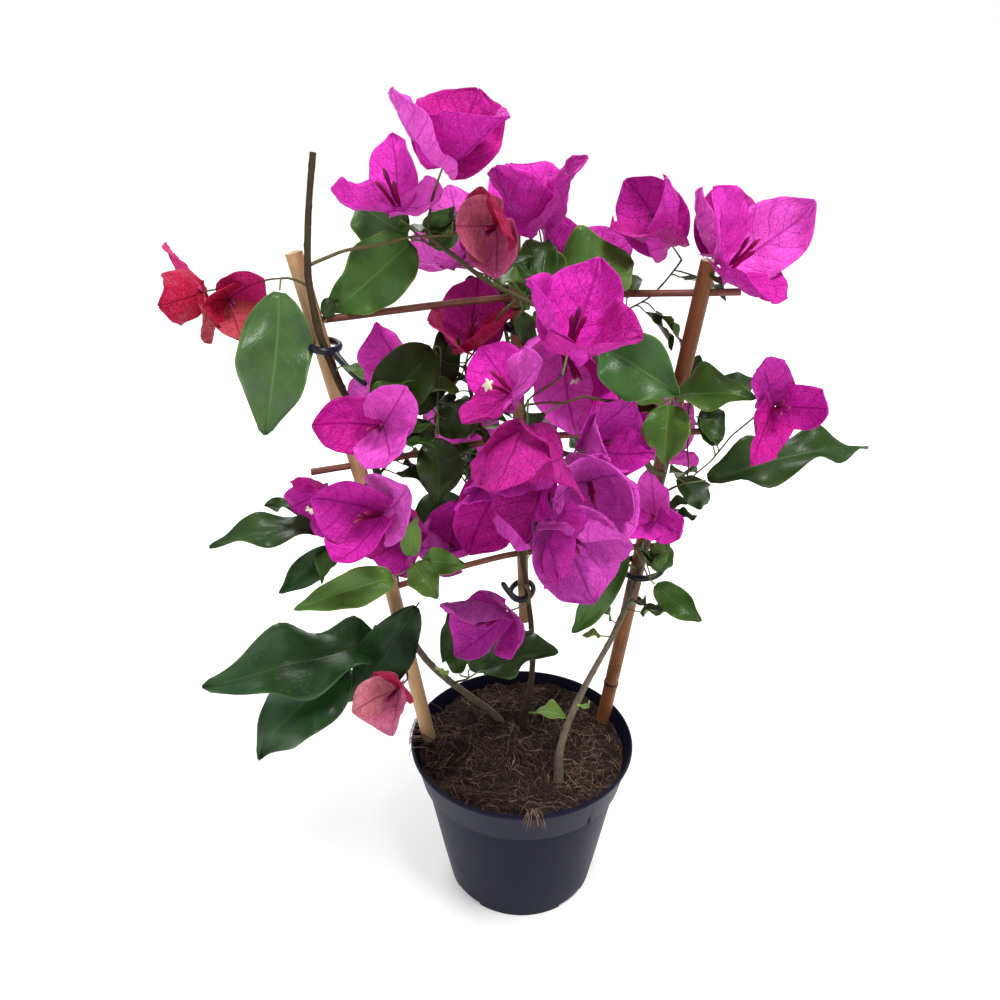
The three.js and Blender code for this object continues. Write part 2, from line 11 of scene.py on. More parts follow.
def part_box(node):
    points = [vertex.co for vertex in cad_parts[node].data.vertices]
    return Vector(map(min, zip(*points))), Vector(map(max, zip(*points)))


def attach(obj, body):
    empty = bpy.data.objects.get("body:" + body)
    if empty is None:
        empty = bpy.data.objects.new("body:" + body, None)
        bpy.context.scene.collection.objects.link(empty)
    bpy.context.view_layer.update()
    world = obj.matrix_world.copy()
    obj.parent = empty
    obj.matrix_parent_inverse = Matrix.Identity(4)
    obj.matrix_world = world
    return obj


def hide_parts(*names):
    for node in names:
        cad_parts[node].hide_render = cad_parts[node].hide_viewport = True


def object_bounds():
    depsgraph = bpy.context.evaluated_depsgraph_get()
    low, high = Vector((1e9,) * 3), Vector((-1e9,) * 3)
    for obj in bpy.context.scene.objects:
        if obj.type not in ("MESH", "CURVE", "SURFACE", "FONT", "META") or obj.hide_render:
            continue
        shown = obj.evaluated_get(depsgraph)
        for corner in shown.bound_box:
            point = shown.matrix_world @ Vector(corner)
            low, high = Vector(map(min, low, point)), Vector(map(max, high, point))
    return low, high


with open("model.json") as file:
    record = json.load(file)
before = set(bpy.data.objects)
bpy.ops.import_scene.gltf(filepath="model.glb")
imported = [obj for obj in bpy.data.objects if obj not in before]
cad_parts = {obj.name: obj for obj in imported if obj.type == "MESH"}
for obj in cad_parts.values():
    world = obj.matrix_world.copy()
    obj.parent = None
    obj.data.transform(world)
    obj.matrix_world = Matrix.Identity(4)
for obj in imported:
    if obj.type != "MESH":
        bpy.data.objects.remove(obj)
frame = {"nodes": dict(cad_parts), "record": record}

cad_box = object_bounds()


# ---------------------------------------------------------------- the stage
# A pale floor under even studio light, with the brightest lamp high on the right,
# and a camera that looks down on the plant from the front. The floor also glows:
# painted light, faint near the pot and strong far off, so that it fades to white.

CAMERA_PLACE = (0, -0.527, 0.559)
CAMERA_PITCH = math.radians(90 - 23.9)
CAMERA_TURN = math.radians(1.81)
LENS = 30.6
LAMPS = {  # place, size, power and colour
    "key_light": ((0.5, -0.5, 1.9), 0.6, 29, (1, 0.985, 0.96)),
    "fill_light": ((-1.4, -1.0, 1.0), 1.4, 4, (0.93, 0.97, 1)),
    "rear_light": ((-0.5, 1.2, 1.5), 1.0, 16, (1, 1, 1)),
}
WORLD_LIGHT = 0.45
FLOOR_SIZE = 12
GLOW_REACH = (0.10, 0.75)
GLOW = (0.27, 0.8)

scene = bpy.context.scene
scene.view_settings.view_transform = "Standard"

middle = (Vector(cad_box[0]) + Vector(cad_box[1])) / 2
for name, (place, size, power, colour) in LAMPS.items():
    bpy.ops.object.light_add(type="AREA", location=place)
    lamp = bpy.context.object
    lamp.name = name
    lamp.data.size = size
    lamp.data.energy = power
    lamp.data.color = colour
    lamp.rotation_euler = (middle - Vector(place)).to_track_quat("-Z", "Y").to_euler()

world = bpy.data.worlds.new("studio")
world.use_nodes = True
world_tree = world.node_tree
background = world_tree.nodes["Background"]
background.inputs["Color"].default_value = (1, 1, 1, 1)
scene.world = world

bpy.ops.object.camera_add(location=CAMERA_PLACE, rotation=(CAMERA_PITCH, 0, CAMERA_TURN))
scene.camera = bpy.context.object
scene.camera.data.lens = LENS


def rgb(red, green, blue):
    """A colour given as 0 to 255 on a screen, as the linear colour that shaders take."""
    return tuple((c / 255 / 12.92 if c < 10.3 else ((c / 255 + 0.055) / 1.055) ** 2.4)
                 for c in (red, green, blue)) + (1.0,)


def finish_of(name, **numbers):
    """A material with one Principled shader, whose plain sockets take the numbers given."""
    made = bpy.data.materials.new(name)
    made.use_nodes = True
    shader = made.node_tree.nodes["Principled BSDF"]
    for socket, value in numbers.items():
        shader.inputs[socket.replace("_", " ")].default_value = value
    return made, made.node_tree, shader


def add(tree, kind, links=(), **settings):
    """A new node. links gives each input, by name or number, a socket or a plain value."""
    node = tree.nodes.new(kind)
    for key, value in settings.items():
        setattr(node, key, value)
    for key, value in dict(links).items():
        if isinstance(value, bpy.types.NodeSocket):
            tree.links.new(value, node.inputs[key])
        else:
            node.inputs[key].default_value = value
    return node


def feed(tree, shader, **links):
    """Joins sockets to the shader's own, each named with _ for a space."""
    for socket, source in links.items():
        tree.links.new(source, shader.inputs[socket.replace("_", " ")])


def ranged(tree, value, low=0.0, high=1.0, to_low=0.0, to_high=1.0, **settings):
    """A value moved from one range to another, and held at its ends."""
    return add(tree, "ShaderNodeMapRange", {
        "Value": value, "From Min": low, "From Max": high, "To Min": to_low, "To Max": to_high},
        **settings).outputs[0]


def place_in(tree):
    return add(tree, "ShaderNodeTexCoord").outputs["Object"]


seen = add(world_tree, "ShaderNodeLightPath").outputs["Is Camera Ray"]
feed(world_tree, background, Strength=ranged(world_tree, seen, 0.0, 1.0, WORLD_LIGHT, 1.0))

bpy.ops.object.select_all(action="DESELECT")
bpy.ops.mesh.primitive_plane_add(size=FLOOR_SIZE)
floor = bpy.context.object
floor.name = "floor"
paper, paper_tree, paper_shader = finish_of(
    "floor_paper", Base_Color=(0.86, 0.86, 0.87, 1), Roughness=0.85, Specular_IOR_Level=0.2,
    Emission_Strength=1.0)
# The floor glows more the farther it lies from the pot: painted light on the floor.
away = add(paper_tree, "ShaderNodeVectorMath", {0: place_in(paper_tree)}, operation="LENGTH")
feed(paper_tree, paper_shader, Emission_Color=ranged(paper_tree, away.outputs["Value"], *GLOW_REACH, *GLOW))
floor.data.materials.append(paper)


# ---------------------------------------------------------------- the pot
# A thin-walled nursery pot, moulded in dark blue-grey plastic, with a raised
# band under its rim, a slit for a label in it and four notches in its foot.

POT_SIDES = 120
POT_WALL = 0.0022
BAND_HEIGHT = 0.030
BAND_STEP = 0.0028
BAND_OVERHANG = 0.005
LIP_HEIGHT = 0.0035
LIP_STEP = 0.0012
NOTCH = (0.025, 0.010, 0.0064)
NOTCH_BEARINGS = (45, 135, 225, 315)
LABEL_SLIT = (0.0016, 0.003, 0.0075)
SLIT_BEARING = -51
SLIT_HEIGHT = 0.0052


def turned(name, profile, sides):
    """A closed turned piece: a disc extruded and resized, ring by ring, up its profile."""
    (radius, height), rest = profile[0], profile[1:]
    bpy.ops.object.select_all(action="DESELECT")
    bpy.ops.mesh.primitive_circle_add(vertices=sides, radius=radius, fill_type="NGON", location=(0, 0, 0))
    piece = bpy.context.object
    piece.name = name
    bpy.ops.object.mode_set(mode="EDIT")
    bpy.ops.mesh.select_mode(type="EDGE")
    bpy.ops.mesh.select_all(action="SELECT")
    bpy.ops.transform.translate(value=(0, 0, height))
    for next_radius, next_height in rest:
        bpy.ops.mesh.extrude_edges_move(TRANSFORM_OT_translate={"value": (0, 0, next_height - height)})
        ratio = next_radius / radius
        bpy.ops.transform.resize(value=(ratio, ratio, 1), center_override=(0, 0, next_height))
        radius, height = next_radius, next_height
    bpy.ops.mesh.edge_face_add()
    bpy.ops.mesh.select_all(action="SELECT")
    bpy.ops.mesh.normals_make_consistent(inside=False)
    bpy.ops.object.mode_set(mode="OBJECT")
    return piece


def pick(piece):
    """Selects one piece alone and makes it the active one."""
    bpy.ops.object.select_all(action="DESELECT")
    piece.select_set(True)
    bpy.context.view_layer.objects.active = piece


def smooth(piece, degrees):
    pick(piece)
    bpy.ops.object.shade_smooth_by_angle(angle=math.radians(degrees))


def applied(piece, kind, **settings):
    """Gives a piece a modifier with these settings, and applies it."""
    modifier = piece.modifiers.new(kind.lower(), kind)
    for key, value in settings.items():
        setattr(modifier, key, value)
    pick(piece)
    bpy.ops.object.modifier_apply(modifier=modifier.name)


def points_of(node):
    """A CAD node's own corners, each once."""
    data = frame["nodes"][node].data
    corners = np.array([vertex.co for vertex in data.vertices])
    _, first = np.unique(corners.round(6), axis=0, return_index=True)
    return corners[first]


pot_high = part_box("pot")[1]
pot_height = pot_high.z
rim_radius = pot_high.x
pot_points = points_of("pot")
base_radius = np.hypot(*pot_points[pot_points[:, 2] < 1e-4][:, :2].T).max()
band_foot = pot_height - BAND_HEIGHT
body_radius = base_radius + (rim_radius - base_radius - BAND_OVERHANG) * band_foot / pot_height
band_radius = rim_radius - LIP_STEP

pot_profile = [
    (base_radius - 0.0022, 0), (base_radius - 0.0004, 0.0006), (base_radius, 0.0022),
    (base_radius + (body_radius - base_radius) * 0.33, band_foot * 0.33),
    (base_radius + (body_radius - base_radius) * 0.67, band_foot * 0.67),
    (body_radius - 0.0004, band_foot - 0.0025),
    (body_radius, band_foot),
    (body_radius + BAND_STEP * 0.7, band_foot + 0.0004), (body_radius + BAND_STEP, band_foot + 0.0014),
    (band_radius - 0.0009, pot_height - LIP_HEIGHT - 0.0012),
    (band_radius - 0.0002, pot_height - LIP_HEIGHT),
    (rim_radius - 0.0001, pot_height - LIP_HEIGHT * 0.8), (rim_radius, pot_height - LIP_HEIGHT * 0.45),
    (rim_radius - 0.0003, pot_height - 0.0006), (rim_radius - 0.0010, pot_height),
    (rim_radius - POT_WALL * 0.8, pot_height), (rim_radius - POT_WALL, pot_height - 0.0008),
    (band_radius - POT_WALL - 0.001, pot_height - LIP_HEIGHT - 0.004),
    (body_radius + BAND_STEP - POT_WALL, band_foot + 0.002),
    (body_radius - POT_WALL, band_foot - 0.004),
    (base_radius - POT_WALL, 0.006), (base_radius - POT_WALL - 0.003, 0.004),
]
pot = turned("nursery_pot", pot_profile, POT_SIDES)

cuts = [(bearing, base_radius, 0, NOTCH) for bearing in NOTCH_BEARINGS]
cuts.append((SLIT_BEARING, body_radius + BAND_STEP, band_foot + SLIT_HEIGHT, LABEL_SLIT))
for bearing, reach, height, size in cuts:
    turn = math.radians(bearing)
    bpy.ops.object.select_all(action="DESELECT")
    bpy.ops.mesh.primitive_cube_add(
        size=1, location=(reach * math.cos(turn), reach * math.sin(turn), height),
        rotation=(0, 0, turn + math.pi / 2), scale=size)
    cutter = bpy.context.object
    applied(pot, "BOOLEAN", object=cutter)
    bpy.data.objects.remove(cutter)
smooth(pot, 40)


def new_group(name, inputs, outputs):
    """A shader node group: inputs are (name, kind, default), outputs are (name, kind)."""
    group = bpy.data.node_groups.new(name, "ShaderNodeTree")
    for label, kind, default in inputs:
        socket = group.interface.new_socket(label, in_out="INPUT", socket_type="NodeSocket" + kind)
        if default is not None:
            socket.default_value = default
    for label, kind in outputs:
        group.interface.new_socket(label, in_out="OUTPUT", socket_type="NodeSocket" + kind)
    return group, group.nodes.new("NodeGroupInput").outputs, group.nodes.new("NodeGroupOutput").inputs


def cloud(tree, vector, scale, detail, roughness=0.5):
    return add(tree, "ShaderNodeTexNoise", {
        "Vector": vector, "Scale": scale, "Detail": detail, "Roughness": roughness}).outputs[0]


def mix(tree, share, first, second, blend="MIX"):
    return add(tree, "ShaderNodeMix", {0: share, 6: first, 7: second},
               data_type="RGBA", blend_type=blend).outputs[2]


def mottle_group():
    """Cloudy stains: a base colour broken by patches of a second one."""
    group, given, out = new_group(
        "Mottle",
        [("Vector", "Vector", None), ("Scale", "Float", 40.0), ("Low", "Float", 0.45),
         ("High", "Float", 0.65), ("Base", "Color", None), ("Stain", "Color", None)],
        [("Color", "Color"), ("Mask", "Float")])
    clouds = cloud(group, given["Vector"], given["Scale"], 5.0, 0.6)
    mask = ranged(group, clouds, given["Low"], given["High"])
    group.links.new(mix(group, mask, given["Base"], given["Stain"]), out["Color"])
    group.links.new(mask, out["Mask"])
    return group


mottle = mottle_group()


def use_group(tree, group, links):
    return add(tree, "ShaderNodeGroup", links, node_tree=group).outputs


def mottled(tree, vector, scale, low, high, base, stain):
    return use_group(tree, mottle, {
        "Vector": vector, "Scale": scale, "Low": low, "High": high, "Base": base, "Stain": stain})


def bump(tree, shader, height, strength, distance):
    relief = add(tree, "ShaderNodeBump", {"Height": height, "Strength": strength, "Distance": distance})
    feed(tree, shader, Normal=relief.outputs[0])


def plastic_of_pot():
    made, tree, shader = finish_of("pot_plastic", Specular_IOR_Level=0.06)
    place = place_in(tree)
    stain = mottled(tree, place, 22.0, 0.5, 0.78, rgb(25, 25, 43), rgb(33, 33, 50))
    specks = mottled(tree, place, 620.0, 0.70, 0.76, stain["Color"], rgb(96, 90, 84))
    feed(tree, shader, Base_Color=specks["Color"],
         Roughness=ranged(tree, stain["Mask"], 0.0, 1.0, 0.4, 0.56))
    bump(tree, shader, cloud(tree, place, 900.0, 2.0), 0.12, 0.0004)
    return made


def bring_out(piece, slot, *nodes):
    """The closing calls of every piece: it rides on the plant and stands for CAD nodes."""
    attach(piece, "root")
    if nodes:
        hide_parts(*nodes)


pot.data.materials.append(plastic_of_pot())
bring_out(pot, "pot", "pot")


# ---------------------------------------------------------------- the compost
# Dark coir, heaped against the left of the wall and full of pale fibres, with
# crumbs of bark on top. It follows the top of its CAD node.

COMPOST_SIDES = 132
COMPOST_RINGS = 44
TUFTS = 105
FIBRES_IN_TUFT = 24
CRUMBS = 520
BED_FOOT, BED_SHOULDER, BED_BRIM = 0.101, 0.104, 0.112
LOWEST_TOP, BRIDGED_TOP = 0.105, 0.1145
WALL_GAP = 0.0012
REAR_HEAP = (0.0055, 0.05)
LUMPS = ((0.0034, 30, 2.2), (0.0030, 70, 0.3), (0.0016, 190, 4.1), (0.0009, 430, 7.7))

compost_node = frame["nodes"]["compost"].data
compost_tree = BVHTree.FromPolygons(
    [v.co for v in compost_node.vertices], [list(p.vertices) for p in compost_node.polygons])
compost_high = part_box("compost")[1].z
wall_slope = (rim_radius - base_radius) / pot_height


def wall_inside(z):
    return base_radius + wall_slope * z - POT_WALL - WALL_GAP


def compost_height(x, y):
    """The top of the compost at a place, with the stems' holes bridged over."""
    reach = math.hypot(x, y)
    limit = wall_inside(BED_BRIM) - 0.003
    if reach > limit:
        x, y = x * limit / reach, y * limit / reach
    hit = compost_tree.ray_cast(Vector((x, y, compost_high + 0.05)), Vector((0, 0, -1)))[0]
    return BRIDGED_TOP if hit is None or hit.z < LOWEST_TOP else hit.z


def lumps(x, y):
    """How far the coir rises over its bed: a heap towards the rear, and lumps of several sizes."""
    height, reach = REAR_HEAP
    heap = height * min(1, max(0, y / reach))
    return sum((high * noise.noise(Vector((x * often, y * often, seed)))
                for high, often, seed in LUMPS), heap)


brim = wall_inside(BED_BRIM)
compost_profile = [(wall_inside(BED_SHOULDER) - 0.002, BED_FOOT), (wall_inside(BED_SHOULDER), BED_SHOULDER)]
compost_profile += [(brim * (1 - i / COMPOST_RINGS) + 0.0006, BED_BRIM) for i in range(COMPOST_RINGS)]
compost = turned("coir_bed", compost_profile, COMPOST_SIDES)
for vertex in compost.data.vertices:
    x, y, z = vertex.co
    if z > BED_BRIM - 0.001:
        vertex.co.z = height = compost_height(x, y) + lumps(x, y)
        if math.hypot(x, y) > brim - 0.0002:
            vertex.co.x *= min(1, wall_inside(height) / brim)
            vertex.co.y *= min(1, wall_inside(height) / brim)
smooth(compost, 180)


class Batch:
    """Many small shapes gathered into one mesh, with a UV for each corner and a tint for each point."""

    def __init__(self):
        self.points, self.faces, self.uvs, self.tints = [], [], [], []

    def take(self, points, faces, uvs, tint):
        """uvs holds one (u, v) for each corner of each face. A list of tints has one for each point."""
        start = len(self.points)
        self.points.extend(points)
        self.faces.extend([[i + start for i in face] for face in faces])
        self.uvs.extend(uvs)
        self.tints.extend(tint if isinstance(tint, list) else [tint] * len(points))

    def build(self, name, material):
        data = bpy.data.meshes.new(name)
        data.from_pydata([tuple(p) for p in self.points], [], self.faces)
        data.polygons.foreach_set("use_smooth", [True] * len(data.polygons))
        layer = data.uv_layers.new(name="Surface")
        layer.data.foreach_set("uv", np.array(self.uvs, float).ravel())
        tints = data.attributes.new("tint", "FLOAT_COLOR", "POINT")
        tints.data.foreach_set("color", np.array(self.tints, float).ravel())
        data.materials.append(material)
        piece = bpy.data.objects.new(name, data)
        scene.collection.objects.link(piece)
        return piece


def unit(vector):
    return vector / max(np.linalg.norm(vector), 1e-12)


def tube(batch, path, radii, sides, tint, relief=None, closed=True):
    """A round tube along a path, with the length in metres as v. relief(turn, along) scales its radius."""
    path = np.asarray(path, float)
    ahead = np.gradient(path, axis=0)
    ahead /= np.linalg.norm(ahead, axis=1)[:, None]
    side = unit(np.cross(ahead[0], (0.3, 0.9, 0.1)))
    length = np.concatenate([[0], np.cumsum(np.linalg.norm(np.diff(path, axis=0), axis=1))])
    points, rings = [], len(path)
    for place, way, radius, along in zip(path, ahead, radii, length):
        side = unit(side - way * np.dot(side, way))
        other = np.cross(way, side)
        for k in range(sides):
            turn = 2 * math.pi * k / sides
            grown = radius * (relief(turn, along) if relief else 1)
            points.append(place + (side * math.cos(turn) + other * math.sin(turn)) * grown)
    faces, uvs = [], []
    for i in range(rings - 1):
        for k in range(sides):
            n = (k + 1) % sides
            faces.append([i * sides + k, i * sides + n, (i + 1) * sides + n, (i + 1) * sides + k])
            uvs += [(k / sides, length[i]), ((k + 1) / sides, length[i]),
                    ((k + 1) / sides, length[i + 1]), (k / sides, length[i + 1])]
    if closed:
        faces.append(list(range(sides))[::-1])
        faces.append([(rings - 1) * sides + k for k in range(sides)])
        uvs += [(k / sides, 0) for k in range(sides)][::-1]
        uvs += [(k / sides, length[-1]) for k in range(sides)]
    batch.take(points, faces, uvs, tint)


def tinted(name, **numbers):
    """A finish whose base colour starts from the piece's own tints."""
    made, tree, shader = finish_of(name, **numbers)
    tint = add(tree, "ShaderNodeAttribute", attribute_name="tint").outputs["Color"]
    return made, tree, shader, tint


def toned(tree, colour, other):
    return mix(tree, 1.0, colour, other, "MULTIPLY")


def coir_finish():
    made, tree, shader = finish_of("coir", Roughness=0.95, Specular_IOR_Level=0.15)
    place = place_in(tree)
    dark = mottled(tree, place, 260.0, 0.4, 0.62, rgb(30, 24, 23), rgb(62, 50, 45))
    flecked = mottled(tree, place, 900.0, 0.6, 0.72, dark["Color"], rgb(112, 94, 82))
    feed(tree, shader, Base_Color=flecked["Color"])
    bump(tree, shader, flecked["Mask"], 0.8, 0.002)
    return made


compost.data.materials.append(coir_finish())
bring_out(compost, "compost", "compost")

luck = random.Random(7)


def fibre_finish(name, roughness):
    made, tree, shader, tint = tinted(name, Roughness=roughness, Specular_IOR_Level=0.2)
    patch = mottled(tree, place_in(tree), 500.0, 0.35, 0.7, (0.55, 0.5, 0.45, 1), (1.1, 1.1, 1.1, 1))
    feed(tree, shader, Base_Color=toned(tree, tint, patch["Color"]))
    return made


FIBRE_STEPS = 7
MOST_CURL = 48


def fibre(batch, x, y, heading, length, lift, radius, tint):
    """One curled strand lying on the compost, its middle or its end lifted off it."""
    curl = luck.uniform(-1, 1) * MOST_CURL
    path, radii = [], []
    for i in range(FIBRE_STEPS + 1):
        share = i / FIBRE_STEPS
        over = math.hypot(x, y) / (brim - 0.001)
        if over > 1:
            x, y, heading = x / over, y / over, heading + 0.9
        z = compost_height(x, y) + lumps(x, y) + radius * 1.5 + lift * math.sin(share * 2.2)
        path.append((x, y, z))
        radii.append(radius * (1 - 0.5 * abs(share - 0.4)))
        heading += curl * length / FIBRE_STEPS + luck.uniform(-0.25, 0.25)
        x += math.cos(heading) * length / FIBRE_STEPS
        y += math.sin(heading) * length / FIBRE_STEPS
    tube(batch, path, radii, 3, tint)


FIBRE_TINTS = [rgb(150, 128, 112), rgb(106, 88, 78), rgb(72, 58, 52), rgb(48, 38, 35), rgb(190, 166, 146)]
fibres = Batch()
for _ in range(TUFTS):
    reach = brim * math.sqrt(luck.random()) * 0.97
    turn, heading = luck.uniform(0, 2 * math.pi), luck.uniform(0, 2 * math.pi)
    for _ in range(FIBRES_IN_TUFT):
        tint = luck.choices(FIBRE_TINTS, weights=(5, 6, 7, 6, 2))[0]
        x, y = reach * math.cos(turn) + luck.gauss(0, 0.006), reach * math.sin(turn) + luck.gauss(0, 0.006)
        fibre(fibres, x, y, heading + luck.gauss(0, 0.7), luck.uniform(0.005, 0.020), luck.uniform(0, 0.003),
              luck.uniform(0.00009, 0.00026), tint)


def hanging_strand(batch, bearing, reach, drop):
    """A strand that lies out over the rim and hangs down its outside."""
    turn = math.radians(bearing)
    out = np.array((math.cos(turn), math.sin(turn), 0))
    side = np.array((-math.sin(turn), math.cos(turn), 0))
    start = out * (brim - 0.012)
    start[2] = compost_height(*start[:2]) + 0.001
    over = out * (rim_radius - 0.001) + (0, 0, pot_height + 0.0012)
    down = out * (rim_radius + reach) + (0, 0, pot_height - drop)
    lean = side * luck.uniform(-0.007, 0.007)
    path = [start, (start + over) / 2 + (0, 0, 0.003), over + lean * 0.5,
            (over + down) / 2 + lean * 0.8 + out * 0.001, down + lean]
    tube(batch, path, [0.0003, 0.0003, 0.00028, 0.00025, 0.00012], 3, luck.choice(FIBRE_TINTS[:3]))


# Strands over the rim: how many, their bearing and its spread, and how far out and down they reach.
for count, bearing, spread, out_reach, drop in ((22, -84, 2.0, (0.0006, 0.003), (0.003, 0.013)),
                                                (26, 176, 9, (0.0004, 0.002), (-0.001, 0.004))):
    for _ in range(count):
        hanging_strand(fibres, luck.gauss(bearing, spread), luck.uniform(*out_reach), luck.uniform(*drop))
bring_out(fibres.build("coir_fibres", fibre_finish("coir_fibre", 0.8)), "compost")

CRUMB_TINTS = [rgb(38, 27, 22), rgb(60, 42, 33), rgb(92, 66, 48), rgb(50, 40, 34)]


def crumb(batch, x, y, size, tint):
    """A broken crumb: a six-sided pebble, squashed and turned at random."""
    turn = luck.uniform(0, math.pi)
    ring = [(math.cos(turn + k * math.pi / 3) * size * luck.uniform(0.6, 1.2),
             math.sin(turn + k * math.pi / 3) * size * luck.uniform(0.4, 0.9)) for k in range(6)]
    z = compost_height(x, y) + lumps(x, y)
    points = [(x, y, z - size * 0.4)]
    points += [(x + a, y + b, z + size * luck.uniform(-0.15, 0.3)) for a, b in ring]
    points += [(x + a * 0.55, y + b * 0.55, z + size * luck.uniform(0.35, 0.7)) for a, b in ring]
    faces = [[0, (k + 1) % 6 + 1, k + 1] for k in range(6)]
    faces += [[k + 1, (k + 1) % 6 + 1, (k + 1) % 6 + 7, k + 7] for k in range(6)]
    faces.append([k + 7 for k in range(6)])
    batch.take(points, faces, [(0.5, 0.5)] * sum(map(len, faces)), tint)


crumbs = Batch()
for _ in range(CRUMBS):
    reach = (brim - 0.004) * math.sqrt(luck.random())
    turn = luck.uniform(0, 2 * math.pi)
    tint = luck.choice(CRUMB_TINTS)
    crumb(crumbs, reach * math.cos(turn), reach * math.sin(turn), luck.uniform(0.0007, 0.0026), tint)
grit = crumbs.build("bark_crumbs", fibre_finish("crumb_bark", 0.9))
grit.data.polygons.foreach_set("use_smooth", [False] * len(grit.data.polygons))
bring_out(grit, "compost")


# ---------------------------------------------------------------- canes and cross sticks
# A fan of three bamboo canes, the outer two standing in the compost, with three
# stained cross sticks pushed through them. Canes are hollow at their cut tops.

CORE_STEP = 0.004
MOST_CUTS = 400
THICKEST_LIMB = 0.010
CAP = 0.003


def core_of(node, ahead):
    """The middle line of a limb and its radius, by cutting across it every few millimetres."""
    data = frame["nodes"][node].data
    triangles = np.array([[data.vertices[i].co for i in p.vertices] for p in data.polygons])
    corners = triangles.reshape(-1, 3)
    heading = np.array(ahead, float)
    reached = corners @ heading
    here = corners[reached < reached.min() + CAP].mean(0)
    path, radii = [here], []
    while len(path) < MOST_CUTS:
        target = here + heading * CORE_STEP
        depth = (triangles - target) @ heading
        cuts = []
        for a, b in ((0, 1), (1, 2), (2, 0)):
            crossed = depth[:, a] * depth[:, b] < 0
            share = depth[crossed, a] / (depth[crossed, a] - depth[crossed, b])
            cut = triangles[crossed, a] + (triangles[crossed, b] - triangles[crossed, a]) * share[:, None]
            cuts.append(cut[np.linalg.norm(cut - target, axis=1) < THICKEST_LIMB])
        ring = np.concatenate(cuts)
        if len(ring) < 6:
            break
        middle = (ring.max(0) + ring.min(0)) / 2
        radii.append(np.median(np.linalg.norm(ring - middle, axis=1)))
        heading = unit(heading * 0.4 + unit(middle - here) * 0.6)
        here = middle
        path.append(here)
    close = corners[np.linalg.norm(corners - here, axis=1) < THICKEST_LIMB * 1.2]
    path.append(here + heading * max(((close - here) @ heading).max(), 0))
    radii = [radii[0]] + radii + [radii[-1]]
    return np.array(path), np.array(radii)


def resampled(path, radii, step, smoothing):
    """The same line at an even, finer step, eased so that it has no corners."""
    for _ in range(smoothing):
        path[1:-1] = (path[:-2] + path[1:-1] * 2 + path[2:]) / 4
        radii[1:-1] = (radii[:-2] + radii[1:-1] * 2 + radii[2:]) / 4
    length = np.concatenate([[0], np.cumsum(np.linalg.norm(np.diff(path, axis=0), axis=1))])
    at = np.linspace(0, length[-1], max(int(length[-1] / step), 4) + 1)
    eased = np.stack([np.interp(at, length, path[:, i]) for i in range(3)], 1)
    return eased, np.interp(at, length, radii)


SAWN_UV = 0.9
SAWN_TINT = rgb(222, 204, 172)
JOINT_LINE = 0.0011


def maths_in(tree, operation, *inputs):
    return add(tree, "ShaderNodeMath", dict(enumerate(inputs)), operation=operation).outputs[0]


def surface_in(tree):
    return add(tree, "ShaderNodeUVMap", uv_map="Surface").outputs[0]


def fibres_along(tree, around, along):
    """A piece's own surface, drawn out so that a pattern on it runs lengthwise."""
    return add(tree, "ShaderNodeVectorMath", {0: surface_in(tree), 1: (around, along, 1.0)},
               operation="MULTIPLY").outputs[0]


def times(colour, factor):
    return tuple(c * factor for c in colour[:3]) + (1,)


def wood_finish(name, light, dark, roughness, fibres_across, streaky, joints=()):
    """Split or whole bamboo: fibres along it, with streaks, stains and a dark line at each joint."""
    made, tree, shader = finish_of(name, Specular_IOR_Level=0.2)
    streaks = cloud(tree, fibres_along(tree, fibres_across, 30.0), 1.0, 4.0)
    streak = ranged(tree, streaks, 0.35, 0.7, 0.0, streaky)
    grained = mix(tree, streak, light, dark)
    stained = mottled(tree, place_in(tree), 34.0, 0.5, 0.75, grained, times(dark, 0.55))
    along = add(tree, "ShaderNodeSeparateXYZ", {0: surface_in(tree)}).outputs[1]
    lined = stained["Color"]
    for joint in joints:
        lined = mix(tree, maths_in(tree, "COMPARE", along, joint, JOINT_LINE), lined, times(dark, 0.3))
    sawn = ranged(tree, along, SAWN_UV - 0.05, SAWN_UV, 0.0, 0.85)
    feed(tree, shader, Base_Color=mix(tree, sawn, lined, SAWN_TINT),
         Roughness=ranged(tree, stained["Mask"], 0.0, 1.0, roughness, roughness + 0.2))
    bump(tree, shader, streak, 0.25, 0.0004)
    return made


def merged(piece, threshold):
    pick(piece)
    bpy.ops.object.mode_set(mode="EDIT")
    bpy.ops.mesh.select_all(action="SELECT")
    bpy.ops.mesh.remove_doubles(threshold=threshold)
    bpy.ops.object.mode_set(mode="OBJECT")


# Each cane's light and dark wood, and how far along it its two joints are.
CANES = {"cane_left": (rgb(196, 160, 118), rgb(156, 116, 78), (0.055, 0.68)),
         "cane_middle": (rgb(160, 124, 88), rgb(112, 80, 54), (0.3, 0.83)),
         "cane_right": (rgb(138, 88, 52), rgb(92, 54, 32), (0.3, 0.62))}
CANE_SIDES = 28
STICK_SIDES = 14
HOLLOW_DEPTH = 0.012
SUNK = 0.012
JOINT_SWELL = 0.0022
UNTINTED = (1, 1, 1, 1)
paths = {}

